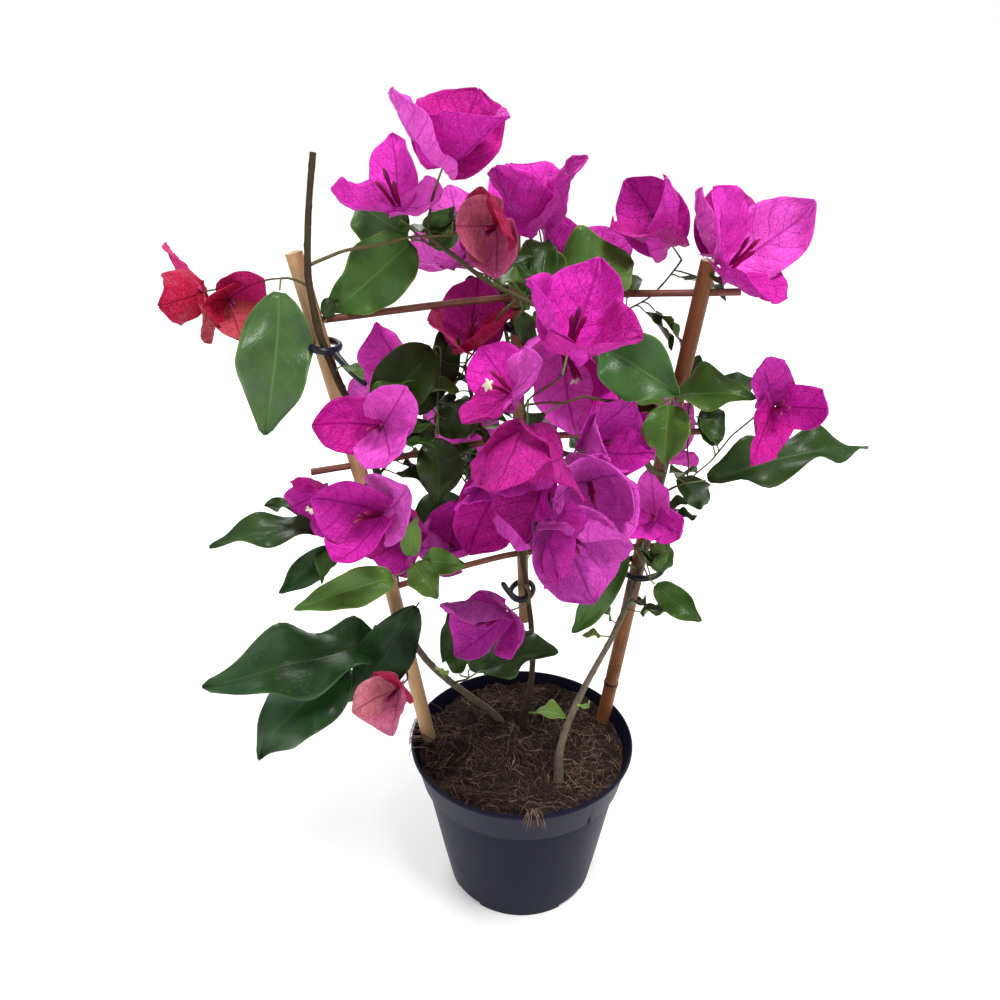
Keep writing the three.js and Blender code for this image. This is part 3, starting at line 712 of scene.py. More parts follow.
for node, (light, dark, joint_shares) in CANES.items():
    core, girth = core_of(node, (0, 0, 1))
    girth[:] = np.median(girth)
    paths[node] = (core.copy(), girth.copy())
    if node != "cane_middle":
        core[0] -= unit(core[1] - core[0]) * SUNK
    core, girth = resampled(core, girth, 0.002, 8)
    length = np.linalg.norm(core[-1] - core[0])
    joints = [share * length for share in joint_shares]

    def cane_relief(turn, along, joints=joints):
        swell = 1 + 0.008 * math.sin(3 * turn + along * 9)
        for joint in joints:
            away = (along - joint) / JOINT_SWELL
            swell += 0.11 * math.exp(-away * away) - 0.07 * math.exp(-((away - 1.9) ** 2) * 3)
        return swell

    batch = Batch()
    tube(batch, core, girth, CANE_SIDES, UNTINTED, cane_relief, closed=False)
    wall = CANE_SIDES * (len(core) - 1)
    foot = [np.array(p) for p in batch.points[:CANE_SIDES]]
    top = [np.array(p) for p in batch.points[wall:wall + CANE_SIDES]]
    middle, down = sum(top) / CANE_SIDES, unit(core[-4] - core[-1])
    rings = [top]
    for share, depth in ((0.94, -0.0003), (0.62, -0.0002), (0.55, 0.0008), (0.5, HOLLOW_DEPTH)):
        rings.append([middle + (p - middle) * share + down * depth for p in top])
    for outer, inner in zip(rings, rings[1:]):
        faces = [[k, (k + 1) % CANE_SIDES, (k + 1) % CANE_SIDES + CANE_SIDES, k + CANE_SIDES]
                 for k in range(CANE_SIDES)]
        uvs = [(k / CANE_SIDES, SAWN_UV) for k in range(CANE_SIDES) for _ in range(4)]
        batch.take(outer + inner, faces, uvs, UNTINTED)
    for ring, order in ((rings[-1], 1), (foot, -1)):
        batch.take(ring, [list(range(CANE_SIDES))[::order]], [(0.5, 0.5)] * CANE_SIDES, UNTINTED)
    cane = batch.build(node + "_bamboo", wood_finish(node + "_skin", light, dark, 0.42, 44.0, 0.55, joints))
    merged(cane, 0.00001)
    smooth(cane, 40)
    bring_out(cane, "cane", node)

for node in ("rung_top", "rung_middle", "rung_low"):
    core, girth = core_of(node, (1, 0, 0))
    girth[:] = np.median(girth)
    core, girth = resampled(core, girth, 0.003, 4)
    shift = luck.uniform(0, 50)

    def stick_relief(turn, along, shift=shift):
        across = Vector((math.cos(turn) * 1.4 + shift, math.sin(turn) * 1.4, along * 45))
        return 1 + 0.07 * noise.noise(across)

    batch = Batch()
    tube(batch, core, girth, STICK_SIDES, UNTINTED, stick_relief)
    stick = batch.build(node + "_stick", wood_finish(
        node + "_skin", rgb(140, 94, 76), rgb(88, 50, 40), 0.5, 12.0, 0.9))
    smooth(stick, 50)
    bring_out(stick, "cross_stick", node)


# ---------------------------------------------------------------- ties
# Soft plastic loops, dark blue-black, that hold the stems to the canes. Each is
# its CAD node's loop and tails, merged, rounded and eased.

TIE_FILLING = 0.0009

tie_plastic, _, _ = finish_of(
    "tie_plastic", Base_Color=rgb(20, 22, 36), Roughness=0.38, Specular_IOR_Level=0.35)
for node in sorted(n for n in frame["nodes"] if n.startswith("tie_")):
    tie = bpy.data.objects.new(node + "_loop", frame["nodes"][node].data.copy())
    scene.collection.objects.link(tie)
    tie.data.materials.clear()
    tie.data.materials.append(tie_plastic)
    merged(tie, 0.0001)
    applied(tie, "SUBSURF", levels=2, render_levels=2)
    applied(tie, "DISPLACE", strength=TIE_FILLING, mid_level=0)
    smooth(tie, 180)
    bring_out(tie, "tie", node)


# ---------------------------------------------------------------- stems and boughs
# Young wood: grey and ribbed at the foot, dark olive higher up, with raised
# leaf scars. Each keeps the line and taper of its CAD node, down to its fork.

SCAR_STEP = 0.022
GREY_BARK = rgb(112, 104, 90)
GREEN_BARK = rgb(84, 82, 52)
DARK_BARK = rgb(66, 56, 38)
BARK_TINTS = {"stem_right": GREY_BARK, "stem_left": GREY_BARK, "stem_middle": DARK_BARK,
              "bough_tall": DARK_BARK, "bough_arching": GREEN_BARK, "bough_middle": DARK_BARK,
              "bough_rear": GREEN_BARK}
SLIMMER = {"stem_right": 0.72, "stem_left": 0.85}
# Boughs that fork from a stem's side: the stem, and how much of the bough's foot gives way to the fork.
FORKS = {"bough_arching": ("stem_right", 0.014), "bough_rear": ("stem_middle", 0.0)}
FORK_DROP = 0.010
FORK_STEPS = 4
STEM_SUNK, BOUGH_SUNK = 0.008, 0.0012
LIMB_SIDES = 20
GOLDEN_ANGLE = 2.4


def bark_finish():
    made, tree, shader, tint = tinted("young_bark", Roughness=0.72, Specular_IOR_Level=0.15)
    rib = ranged(tree, cloud(tree, fibres_along(tree, 9.0, 90.0), 1.0, 5.0, 0.65), 0.3, 0.7)
    shade = mottled(tree, place_in(tree), 240.0, 0.38, 0.68, (0.6, 0.58, 0.55, 1), (1.25, 1.2, 1.15, 1))
    feed(tree, shader, Base_Color=mix(tree, rib, toned(tree, tint, shade["Color"]), tint))
    bump(tree, shader, rib, 0.55, 0.0008)
    return made


bark = bark_finish()
for node, tint in BARK_TINTS.items():
    core, girth = core_of(node, (0, 0, 1))
    paths[node] = (core.copy(), girth.copy())
    core[0] -= unit(core[1] - core[0]) * (STEM_SUNK if node.startswith("stem") else BOUGH_SUNK)
    if node in FORKS:
        stem, given_up = FORKS[node]
        kept = core[:, 2] >= core[0, 2] + given_up
        core, girth = core[kept], girth[kept]
        stem_core = paths[stem][0]
        fork = stem_core[np.argmin(np.linalg.norm(stem_core - core[0] + (0, 0, FORK_DROP), axis=1))]
        core = np.concatenate([np.linspace(fork, core[0], FORK_STEPS, endpoint=False), core])
        girth = np.concatenate([[girth[0]] * FORK_STEPS, girth])
    core, girth = resampled(core, girth * SLIMMER.get(node, 1), 0.0011, 6)
    shift = luck.uniform(0, 60)

    def bark_relief(turn, along, shift=shift):
        across = Vector((math.cos(turn) * 1.6 + shift, math.sin(turn) * 1.6, along * 60))
        ribs = 0.13 * noise.noise(across) + 0.09 * noise.noise(across * 2.7)
        scar = (along % SCAR_STEP) / SCAR_STEP - 0.5
        scar_turn = GOLDEN_ANGLE * int(along / SCAR_STEP)
        return 1 + ribs + 0.16 * math.exp(-(scar * 14) ** 2) * (0.5 + 0.5 * math.cos(turn - scar_turn))

    batch = Batch()
    tube(batch, core, girth, LIMB_SIDES, tint, bark_relief)
    limb = batch.build(node + "_bark", bark)
    smooth(limb, 60)
    bring_out(limb, "bark", node)


# ---------------------------------------------------------------- reading the masses
# Each CAD mass is made of thin blades whose ribs are a fixed thickness apart, so
# a pair of corners that far apart gives a blade's face and a point of its midrib.

RIB = 0.0016
KNOT = 0.0025
STALK = 0.014
SAME_FACE = 0.998
# Where a bract's two ribs stand, as shares of its length: the nearer, how far it is lifted, and the gap.
BRACT_RIB, BRACT_RIB_LIFT, BRACT_RIB_GAP = 0.4, 0.0864, 0.35
BRACT_LENGTHS = (0.025, 0.08)
# The same for a leaf, whose middle rib lifts further, and its width at the low rib as a share of the whole.
LEAF_RIB, LEAF_RIB_LIFT, LEAF_RIB_GAP = 0.25, 0.045, 0.5
LEAF_MIDDLE_LIFT = 0.015
LEAF_LOW_WIDTH = 0.96


def ribs_of(corners):
    apart = np.linalg.norm(corners[:, None] - corners[None], axis=2)
    first, second = np.where(np.triu(abs(apart - RIB) < 0.00001, 1))
    middles = (corners[first] + corners[second]) / 2
    faces = (corners[second] - corners[first]) / RIB
    return list(zip(middles, faces))


def has_corner(corners, place, near=0.0004):
    return np.linalg.norm(corners - place, axis=1).min() < near


def bracts_in(corners):
    """Each bract's base, direction, inner face and length, from its two ribs."""
    found = []
    ribs = ribs_of(corners)
    for i, (near_rib, face) in enumerate(ribs):
        for j, (far_rib, other) in enumerate(ribs):
            if i == j or abs(face @ other) < SAME_FACE:
                continue
            inner = face if (far_rib - near_rib) @ face > 0 else -face
            run = (far_rib - near_rib) - ((far_rib - near_rib) @ inner) * inner
            length = np.linalg.norm(run) / BRACT_RIB_GAP
            if not BRACT_LENGTHS[0] < length < BRACT_LENGTHS[1]:
                continue
            along = unit(run)
            base = near_rib - BRACT_RIB * length * along + BRACT_RIB_LIFT * length * inner
            if has_corner(corners, base + along * length):
                found.append((base, along, inner, length))
    return found


def whole_head(base, looks, bracts):
    """A head has three bracts a third of a turn apart: those that its mass leaves out are added."""
    side = unit(bracts[0][1] - (bracts[0][1] @ looks) * looks)
    other = np.cross(looks, side)
    length = np.mean([bract[3] for bract in bracts])
    opening = math.acos(min(1, max(-1, np.mean([bract[1] @ looks for bract in bracts]))))
    whole = list(bracts)
    for third in (1, 2):
        turn = third * 2 * math.pi / 3
        out = side * math.cos(turn) + other * math.sin(turn)
        if all(unit(bract[1] - (bract[1] @ looks) * looks) @ out < 0.7 for bract in bracts):
            along = looks * math.cos(opening) + out * math.sin(opening)
            inner = looks * math.sin(opening) - out * math.cos(opening)
            whole.append((base, along, inner, length))
    return whole


def heads_in(node):
    """The flower heads of a mass: (base, way it looks, its bracts)."""
    heads = []
    for bract in bracts_in(points_of(node)):
        for head in heads:
            if np.linalg.norm(head[0] - bract[0]) < 0.001:
                head[1].append(bract)
                break
        else:
            heads.append((bract[0], [bract]))
    found = []
    for base, bracts in sorted(heads, key=lambda head: tuple(head[0])):
        bracts.sort(key=lambda bract: tuple(bract[1]))
        spread = unit(sum(along for _, along, _, _ in bracts))
        if len(bracts) > 1:
            (_, a, f, _), (_, b, g, _) = bracts[0], bracts[1]
            looks = unit(np.cross(np.cross(a, f), np.cross(b, g)))
            looks = looks if looks @ spread > 0 else -looks
        else:
            looks = unit(bracts[0][1] + bracts[0][2])
        found.append((base, looks, whole_head(base, looks, bracts)))
    return found


def half_width(corners, rib, along, upper):
    """How far a leaf's edge stands from a rib: its edge corners lift by a fifth of that."""
    away = corners - rib
    out = abs(away @ np.cross(upper, along))
    edge = (abs(away @ along) < 0.0003) & (out > 0.002) & (abs(away @ upper * 5 - out) < 0.0005)
    return out[edge].max() if edge.any() else 0


def leaves_in(node):
    """Each leaf's base, direction, upper face, length and width, from its three ribs."""
    corners = points_of(node)
    ribs = ribs_of(corners)
    found = []
    for i, (low, face) in enumerate(ribs):
        for j, (high, other) in enumerate(ribs):
            if i == j or abs(face @ other) < SAME_FACE:
                continue
            run = (high - low) - ((high - low) @ face) * face
            length, along = np.linalg.norm(run) / LEAF_RIB_GAP, unit(run)
            for upper in (face, -face):
                middle = (low + high) / 2 + upper * length * LEAF_MIDDLE_LIFT
                if not any(np.linalg.norm(middle - rib) < 0.0002 for rib, _ in ribs):
                    continue
                at_low = half_width(corners, low, along, upper)
                at_high = half_width(corners, high, along, upper)
                if at_high and 1.2 < at_low / at_high < 1.4:
                    base = low - LEAF_RIB * length * along - LEAF_RIB_LIFT * length * upper
                    found.append((base, along, upper, length, at_low * 2 / LEAF_LOW_WIDTH))
    found.sort(key=lambda leaf: tuple(leaf[0]))
    return [leaf for k, leaf in enumerate(found)
            if not k or np.linalg.norm(leaf[0] - found[k - 1][0]) > 0.0005
            or np.linalg.norm(leaf[1] - found[k - 1][1]) > 0.05]


def joint_of(node):
    """Where a mass's stalks meet: its knot's middle, or None."""
    corners = points_of(node)
    votes = []
    for axis in np.eye(3):
        apart = corners[None] - corners[:, None] - axis * 2 * KNOT
        first, _ = np.where(np.linalg.norm(apart, axis=2) < 0.00002)
        votes += list(corners[first] + axis * KNOT)
    for vote in votes:
        if sum(np.linalg.norm(vote - other) < 0.00005 for other in votes) > 1:
            return vote
    return None


bloom_nodes = sorted(n for n in frame["nodes"] if n.startswith("bloom_"))
leaf_nodes = sorted(n for n in frame["nodes"] if n.startswith("leaves_"))
slots = {part["node"]: part["material_slot"] for part in frame["record"]["subparts"]}
heads = {node: heads_in(node) for node in bloom_nodes}
leaves = {node: leaves_in(node) for node in leaf_nodes}


# ---------------------------------------------------------------- veins
# Bracts and leaves share one vein pattern on their own UV: a midrib up the
# middle, pairs of ribs that lean towards the tip, and a fine net between them.


def vein_group():
    group, given, out = new_group(
        "Veins",
        [("Vector", "Vector", None), ("Pairs", "Float", 6.0), ("Lean", "Float", 0.45),
         ("Rib", "Float", 0.1), ("Net Scale", "Float", 12.0), ("Net Width", "Float", 0.06)],
        [("Midrib", "Float"), ("Ribs", "Float"), ("Net", "Float")])

    def maths(operation, *inputs):
        return maths_in(group, operation, *inputs)

    def line(away, clear, edge):
        return ranged(group, away, clear, edge, 1.0, 0.0, interpolation_type="SMOOTHSTEP")

    wander = cloud(group, given["Vector"], 7.0, 2.0)
    shift = maths("MULTIPLY", maths("SUBTRACT", wander, 0.5), 0.09)
    split = add(group, "ShaderNodeSeparateXYZ", {0: given["Vector"]}).outputs
    aside = maths("ABSOLUTE", maths("SUBTRACT", split[0], 0.5))
    bent = maths("POWER", maths("MULTIPLY", aside, 2.0), 1.35)
    leant = maths("SUBTRACT", split[1], maths("MULTIPLY", bent, given["Lean"]))
    phase = maths("MULTIPLY", maths("ADD", leant, shift), given["Pairs"])
    near = maths("ABSOLUTE", maths("SUBTRACT", maths("FRACT", phase), 0.5))
    cells = add(group, "ShaderNodeCombineXYZ", {
        0: split[0], 1: maths("DIVIDE", phase, given["Pairs"]), 2: 0.0})
    net = add(group, "ShaderNodeTexVoronoi", {"Vector": cells.outputs[0], "Scale": given["Net Scale"]},
              feature="DISTANCE_TO_EDGE")
    netted = ranged(group, net.outputs["Distance"], 0.0, given["Net Width"], 1.0, 0.0)
    group.links.new(line(aside, 0.006, 0.03), out["Midrib"])
    group.links.new(line(near, 0.0, given["Rib"]), out["Ribs"])
    group.links.new(netted, out["Net"])
    return group


veins = vein_group()


# ---------------------------------------------------------------- blossom
# Each head is three papery bracts round three slender tubes, on a thin stalk.
# A bract is a bowed, ruffled sheet with a keel along its midrib. Bracts glow
# faintly in their own colour: painted light for light through the thin sheets.

SHEET_THICKNESS = 0.0003
BRACT_ROWS, BRACT_COLUMNS = 26, 18
BRACT_WIDTH = 0.90
BRACT_RIBS = 5.5
BRACT_BOW = 0.09


def sheet(batch, rows, columns, shape, tint, under_tint):
    """A thin closed sheet. shape(s, u) gives its middle, s from base to tip and u from edge to edge."""
    width = columns + 1
    share = [0.012 + 0.984 * (i / rows) ** 0.95 for i in range(rows + 1)]
    across = [2 * j / columns - 1 for j in range(width)]
    middle = np.array([[shape(s, u) for u in across] for s in share])
    normal = np.cross(np.gradient(middle, axis=1), np.gradient(middle, axis=0))
    normal /= np.maximum(np.linalg.norm(normal, axis=2), 1e-12)[:, :, None]
    count = (rows + 1) * width
    points = list((middle + normal * SHEET_THICKNESS / 2).reshape(-1, 3))
    points += list((middle - normal * SHEET_THICKNESS / 2).reshape(-1, 3))
    uv = [((u + 1) / 2, s) for s in share for u in across]
    faces, uvs = [], []
    for i in range(rows):
        for j in range(columns):
            k = i * width + j
            quad = [k, k + 1, k + 1 + width, k + width]
            faces += [quad, [k + count for k in quad[::-1]]]
            uvs += [uv[k] for k in quad + quad[::-1]]
    rim = list(range(width)) + [i * width + columns for i in range(1, rows + 1)]
    rim += [rows * width + j for j in range(columns - 1, -1, -1)]
    rim += [i * width for i in range(rows - 1, 0, -1)]
    for a, b in zip(rim, rim[1:] + rim[:1]):
        faces.append([b, a, a + count, b + count])
        uvs += [uv[b], uv[a], uv[a], uv[b]]
    batch.take(points, faces, uvs, [tint] * count + [under_tint] * count)


def outline(s, low, high):
    """A leaf's half-width from base to tip as a share of its widest."""
    widest = low / (low + high)
    return (s ** low * (1 - s) ** high) / (widest ** low * (1 - widest) ** high)


def ramp(value, start, end):
    share = min(1, max(0, (value - start) / (end - start)))
    return share * share * (3 - 2 * share)


def twisted(across, face, turn):
    """The ways across and out of a blade once it has turned about its own length."""
    return across * math.cos(turn) + face * math.sin(turn), face * math.cos(turn) - across * math.sin(turn)


def bract(batch, base, along, inner, length, breadth, tint, luck):
    """One bract: it bows and wraps round the tubes, with a keel, a ruffled edge and a curled tip."""
    across = np.cross(along, inner)
    half = length * breadth / 2 * luck.uniform(0.92, 1.08)
    wrap, keel = luck.uniform(0.24, 0.56), luck.choice((0.04, 0.1, 0.18, 0.42))
    ruffle, waves, phase = luck.uniform(0.03, 0.075), luck.uniform(0.9, 1.9), luck.uniform(0, 6.3)
    curl, twist = luck.uniform(-0.16, 0.12), luck.uniform(-0.45, 0.45)
    seed = luck.uniform(0, 90)

    def shape(s, u):
        grain = Vector((u * 1.3 + seed, s * 2.6, seed))
        edge = half * outline(s, 0.42, 0.56) * (1 - 0.36 * ramp(s, 0.78, 1.0))
        nicks = Vector((u * 2 + seed, s * 11, seed))
        edge *= 1 + 0.06 * noise.noise(grain * 1.3) + 0.025 * noise.noise(nicks)
        x = u * edge
        forward = s * length - 0.10 * length * u * u * (1 - s) ** 3
        lift = -BRACT_BOW * length * 4 * s * (1 - s)
        lift += wrap * x * x / half + keel * abs(x) * (1 - s * 0.5)
        wave = math.sin(2 * math.pi * waves * s + phase + (u > 0) * 2.1)
        lift += ruffle * length * abs(u) ** 1.6 * wave * min(1, edge / half * 1.15)
        lift += curl * length * ramp(s, 0.62, 1.15) ** 1.4 * 1.5
        lift += 0.034 * length * noise.noise(grain * 2.1) + 0.018 * length * noise.noise(grain * 4.9)
        pleat = abs(math.sin(math.pi * BRACT_RIBS * (s - 0.30 * abs(u) ** 1.35)))
        lift -= 0.016 * length * pleat * (1 - abs(u)) ** 0.7 * abs(u) ** 0.3 * ramp(s, 0.04, 0.2)
        side_way, face_way = twisted(across, inner, twist * s * s)
        return base + along * forward + side_way * x + face_way * lift

    sheet(batch, BRACT_ROWS, BRACT_COLUMNS, shape, tint, times(tint, 0.93))


def bract_finish():
    made, tree, shader, tint = tinted(
        "papery_glowing_bract", Roughness=0.6, Specular_IOR_Level=0.12, Emission_Strength=0.10)
    vein = use_group(tree, veins, {
        "Vector": surface_in(tree), "Pairs": BRACT_RIBS, "Lean": 0.30, "Rib": 0.055,
        "Net Scale": 15.0, "Net Width": 0.07})
    place = place_in(tree)
    light = ranged(tree, cloud(tree, place, 120.0, 4.0, 0.6), 0.35, 0.68)
    crisp = ranged(tree, cloud(tree, place, 620.0, 3.0, 0.7), 0.4, 0.66)
    body = mix(tree, light, toned(tree, tint, (0.76, 0.6, 0.76, 1)), tint)
    paler = mix(tree, 0.15, tint, (1, 0.5, 0.94, 1))
    body = mix(tree, maths_in(tree, "MULTIPLY", crisp, 0.35), body, paler)
    fine = maths_in(tree, "MAXIMUM", maths_in(tree, "MULTIPLY", vein["Ribs"], 0.5),
                    maths_in(tree, "MULTIPLY", vein["Net"], 0.34))
    lined = maths_in(tree, "MAXIMUM", maths_in(tree, "MULTIPLY", vein["Midrib"], 0.75), fine)
    final = mix(tree, lined, body, toned(tree, tint, (0.42, 0.22, 0.42, 1)))
    # The bract glows faintly in its own colour, veins and all: painted light that stands for light shining
    # through the thin sheets.
    feed(tree, shader, Base_Color=final, Emission_Color=final)
    height = maths_in(tree, "ADD", maths_in(tree, "MULTIPLY", lined, -1.0),
                      maths_in(tree, "MULTIPLY", crisp, 0.3))
    bump(tree, shader, height, 0.8, 0.0011)
    return made


def plain_finish(name, roughness):
    made, tree, shader, tint = tinted(name, Roughness=roughness)
    feed(tree, shader, Base_Color=tint)
    return made


# The tints of each kind run from pale to dark: partly real differences between bracts, and partly painted
# light and shade, pale bracts standing for lit ones and dark bracts for shaded ones.
BRACT_TINTS = {
    "bract": [rgb(234, 56, 200), rgb(220, 32, 180), rgb(244, 92, 216), rgb(200, 14, 150)],
    "crimson_bract": [rgb(214, 84, 92), rgb(186, 6, 58), rgb(204, 30, 112)],
    "salmon_bract": [rgb(196, 84, 128), rgb(204, 100, 124), rgb(176, 20, 70)],
}
# Masses whose colour differs from their kind, as a factor on red, green and blue. Factors that darken a
# mass, as for the lowest, left_shade and front_low ones, are painted shade for heads that sit in shade; the
# other factors shift a mass's colour.
COLOUR_AND_PAINTED_SHADE = {"bloom_lowest": (0.72, 1.0, 0.78), "bloom_left_shade": (0.72, 0.8, 0.74),
         "bloom_star": (1.08, 1.3, 1.12), "bloom_left_lower": (0.9, 1.1, 0.92),
         "bloom_front_low": (0.78, 0.7, 0.8),
         "bloom_middle_low": (0.88, 0.8, 0.92), "bloom_heart": (0.95, 1.5, 0.92),
         "bloom_right_of_middle": (0.86, 0.9, 0.9), "bloom_pale": (1.15, 1.9, 1.35),
         "bloom_crimson": (0.95, 0.6, 1.7)}
WITH_OPEN_FLOWER = ("bloom_left_lower", "bloom_left_of_middle", "bloom_back_left", "bloom_rear")
# Heads that are smaller, larger, rounder or narrower than the rest, as a share of length and of breadth.
HABIT = {"bloom_top_left": (0.95, 0.72), "bloom_salmon": (0.72, 1.2), "bloom_far_left": (0.86, 0.9),
         "bloom_far_right": (1.1, 0.58), "bloom_left_upper": (0.84, 0.86), "bloom_pale": (0.8, 1.1),
         "bloom_right_top": (0.96, 0.84), "bloom_star": (0.95, 0.84), "bloom_top_middle": (0.96, 0.92),
         "bloom_by_cane": (0.9, 0.62), "bloom_rear": (1.22, 1.15), "bloom_right_of_middle": (1.14, 1.12)}
TUBE_TINTS = [rgb(132, 16, 70), rgb(150, 24, 96), rgb(116, 14, 78)]
CREAM = rgb(244, 238, 208)
TUBE_SWELL = [0.0007, 0.0012, 0.00125, 0.001, 0.00105, 0.0014, 0.0013, 0.0004]
TUBE_SIDES = 8
FRILL_POINTS = 20
tube_finish = plain_finish("flower_tube", 0.5)
bract_paper = bract_finish()
stalk_ends = []


def star(batch, place, ahead, luck):
    """An open flower's mouth: a small cream frill of five lobes, as a thin closed disc."""
    side = unit(np.cross(ahead, (0.2, 0.3, 0.9)))
    other = np.cross(ahead, side)
    points, count = [place - ahead * 0.0006, place + ahead * 0.0004], FRILL_POINTS
    for radius, lift in ((0.0042, 0.0006), (0.0040, 0.0013)):
        for k in range(count):
            turn = 2 * math.pi * k / count
            reach = radius * (1.0 if k % 4 < 2 else 0.62) * luck.uniform(0.92, 1.06)
            points.append(place + (side * math.cos(turn) + other * math.sin(turn)) * reach
                          + ahead * (lift if k % 2 else lift * 0.3))
    faces = []
    for k in range(count):
        n = (k + 1) % count
        faces += [[0, n + 2, k + 2], [1, k + 2 + count, n + 2 + count],
                  [k + 2, n + 2, n + 2 + count, k + 2 + count]]
    batch.take(points, faces, [(0.5, 0.5)] * sum(map(len, faces)), CREAM)


def flower_relief(turn, along):
    return 1 + 0.16 * math.cos(5 * turn)


for node in bloom_nodes:
    luck = random.Random(node)
    petals, flowers = Batch(), Batch()
    # The mass's colour factor: where it darkens the mass, it is painted shade.
    shade = COLOUR_AND_PAINTED_SHADE.get(node, (1, 1, 1))
    tints = BRACT_TINTS[slots[node]]
    to_open = node in WITH_OPEN_FLOWER
    longer, wider = HABIT.get(node, (1, 1))
    for base, looks, bracts in heads[node]:
        for k, (_, along, inner, length) in enumerate(sorted(bracts, key=lambda b: b[1][2])):
            tint = tints[k % len(tints)] if slots[node] != "bract" else luck.choice(tints)
            # A random factor on each bract's tint: partly real differences in tone, and partly painted light
            # and shade, brighter bracts standing for lit ones and darker for shaded ones.
            vary = luck.uniform(0.82, 1.08)
            tint = tuple(min(1, c * f * vary) for c, f in zip(tint, shade)) + (1,)
            length *= longer
            bract(petals, base, along, inner, length, BRACT_WIDTH * wider, tint, luck)
            root = base + along * length * 0.06 + inner * 0.0008
            rise = length * luck.uniform(0.38, 0.46)
            mouth = root + unit(along * 0.45 + looks) * rise + inner * 0.002
            bend = (root + mouth) / 2 + inner * 0.0012
            line = [root * (1 - t) ** 2 + bend * 2 * t * (1 - t) + mouth * t * t
                    for t in np.linspace(0, 1, len(TUBE_SWELL))]
            tube(flowers, line, TUBE_SWELL, TUBE_SIDES, luck.choice(TUBE_TINTS), flower_relief)
            if to_open:
                star(flowers, mouth, unit(mouth - bend), luck)
                to_open = False
        stalk_ends.append((node, base, looks))
    place_name = node.removeprefix("bloom_")
    bring_out(petals.build("bracts_" + place_name, bract_paper), slots[node], node)
    bring_out(flowers.build("tubes_" + place_name, tube_finish), slots[node])


# ---------------------------------------------------------------- leaves
# Pointed, glossy leaves, folded along the midrib and waved along the margin,
# each on a short stalk. Upper faces are dark and undersides paler.

LEAF_ROWS, LEAF_COLUMNS = 24, 14
LEAF_BOW = 0.06
LEAF_RIBS = 5.5


def leaf(batch, base, along, upper, length, width, tint, luck, rows=LEAF_ROWS, columns=LEAF_COLUMNS):
    """One blade. Its foot is blunt or tapering, and its tip is drawn out."""
    across = np.cross(along, upper)
    half = width / 2
    fold, droop = luck.uniform(0.12, 0.45), luck.uniform(-0.02, 0.14)
    wave, waves, phase = luck.uniform(0.055, 0.13), luck.uniform(1.1, 2.3), luck.uniform(0, 6.3)
    twist, sweep = luck.uniform(-0.45, 0.45), luck.uniform(-0.14, 0.14)
    seed = luck.uniform(0, 90)
    taper = 0.42 + 0.3 * (seed * 7 % 1)

    def shape(s, u):
        grain = Vector((u + seed, s * 2.2, seed))
        nicks = Vector((u * 2 + seed, s * 9, seed))
        drawn_out = 1.06 - 0.30 * ramp(s, 0.70, 0.93) + 0.34 * ramp(s, 0.9, 1.02)
        edge = half * outline(s, taper, 0.78) * drawn_out
        edge *= 1 + 0.16 * noise.noise(grain * 1.7) + 0.02 * noise.noise(nicks)
        x = u * edge
        lift = LEAF_BOW * length * 4 * s * (1 - s) + fold * abs(x) - droop * length * ramp(s, 0.55, 1.1)
        swing = math.sin(2 * math.pi * waves * s + phase + (u > 0) * 1.7)
        lift += wave * length * abs(u) ** 1.5 * swing * min(1, edge / half * 1.2) * ramp(s, 0, 0.2)
        lift += 0.03 * length * noise.noise(grain * 1.6) + 0.008 * length * noise.noise(grain * 4.3)
        pleat = abs(math.sin(math.pi * (LEAF_RIBS * (s - 0.25 * abs(u)))))
        lift -= 0.005 * length * pleat * abs(u) * (1 - abs(u))
        side_way, face_way = twisted(across, upper, twist * s * s)
        return base + along * s * length + side_way * (x + sweep * length * s * (1 - s)) + face_way * lift

    under = tuple(min(1, c * f) for c, f in zip(tint, (1.5, 1.35, 1.7))) + (1,)
    sheet(batch, rows, columns, shape, tint, under)


def leaf_finish():
    made, tree, shader, tint = tinted("glossy_leaf", Specular_IOR_Level=0.26)
    surface = surface_in(tree)
    vein = use_group(tree, veins, {
        "Vector": surface, "Pairs": 6.5, "Lean": 0.26, "Rib": 0.06, "Net Scale": 22.0, "Net Width": 0.05})
    blotch = cloud(tree, place_in(tree), 70.0, 4.0)
    body = mix(tree, ranged(tree, blotch, 0.35, 0.7), toned(tree, tint, (0.72, 0.8, 0.78, 1)),
               toned(tree, tint, (1.2, 1.12, 0.95, 1)))
    lined = maths_in(tree, "MAXIMUM", maths_in(tree, "MULTIPLY", vein["Midrib"], 0.5),
                     maths_in(tree, "MULTIPLY", vein["Ribs"], 0.16))
    body = mix(tree, lined, body, toned(tree, tint, (2.3, 1.75, 1.9, 1)))
    across = add(tree, "ShaderNodeSeparateXYZ", {0: surface}).outputs[0]
    aside = maths_in(tree, "ABSOLUTE", maths_in(tree, "SUBTRACT", across, 0.5))
    margin = ranged(tree, aside, 0.465, 0.495, 0.0, 0.6)
    feed(tree, shader, Base_Color=mix(tree, margin, body, toned(tree, tint, (3.2, 2.0, 1.9, 1))),
         Roughness=ranged(tree, blotch, 0.0, 1.0, 0.22, 0.42))
    height = maths_in(tree, "ADD", maths_in(tree, "MULTIPLY", lined, -1.0),
                      maths_in(tree, "MULTIPLY", vein["Net"], -0.12))
    bump(tree, shader, height, 0.45, 0.0009)
    return made


DARK_LEAF, NEW_LEAF = rgb(40, 68, 22), rgb(112, 146, 66)
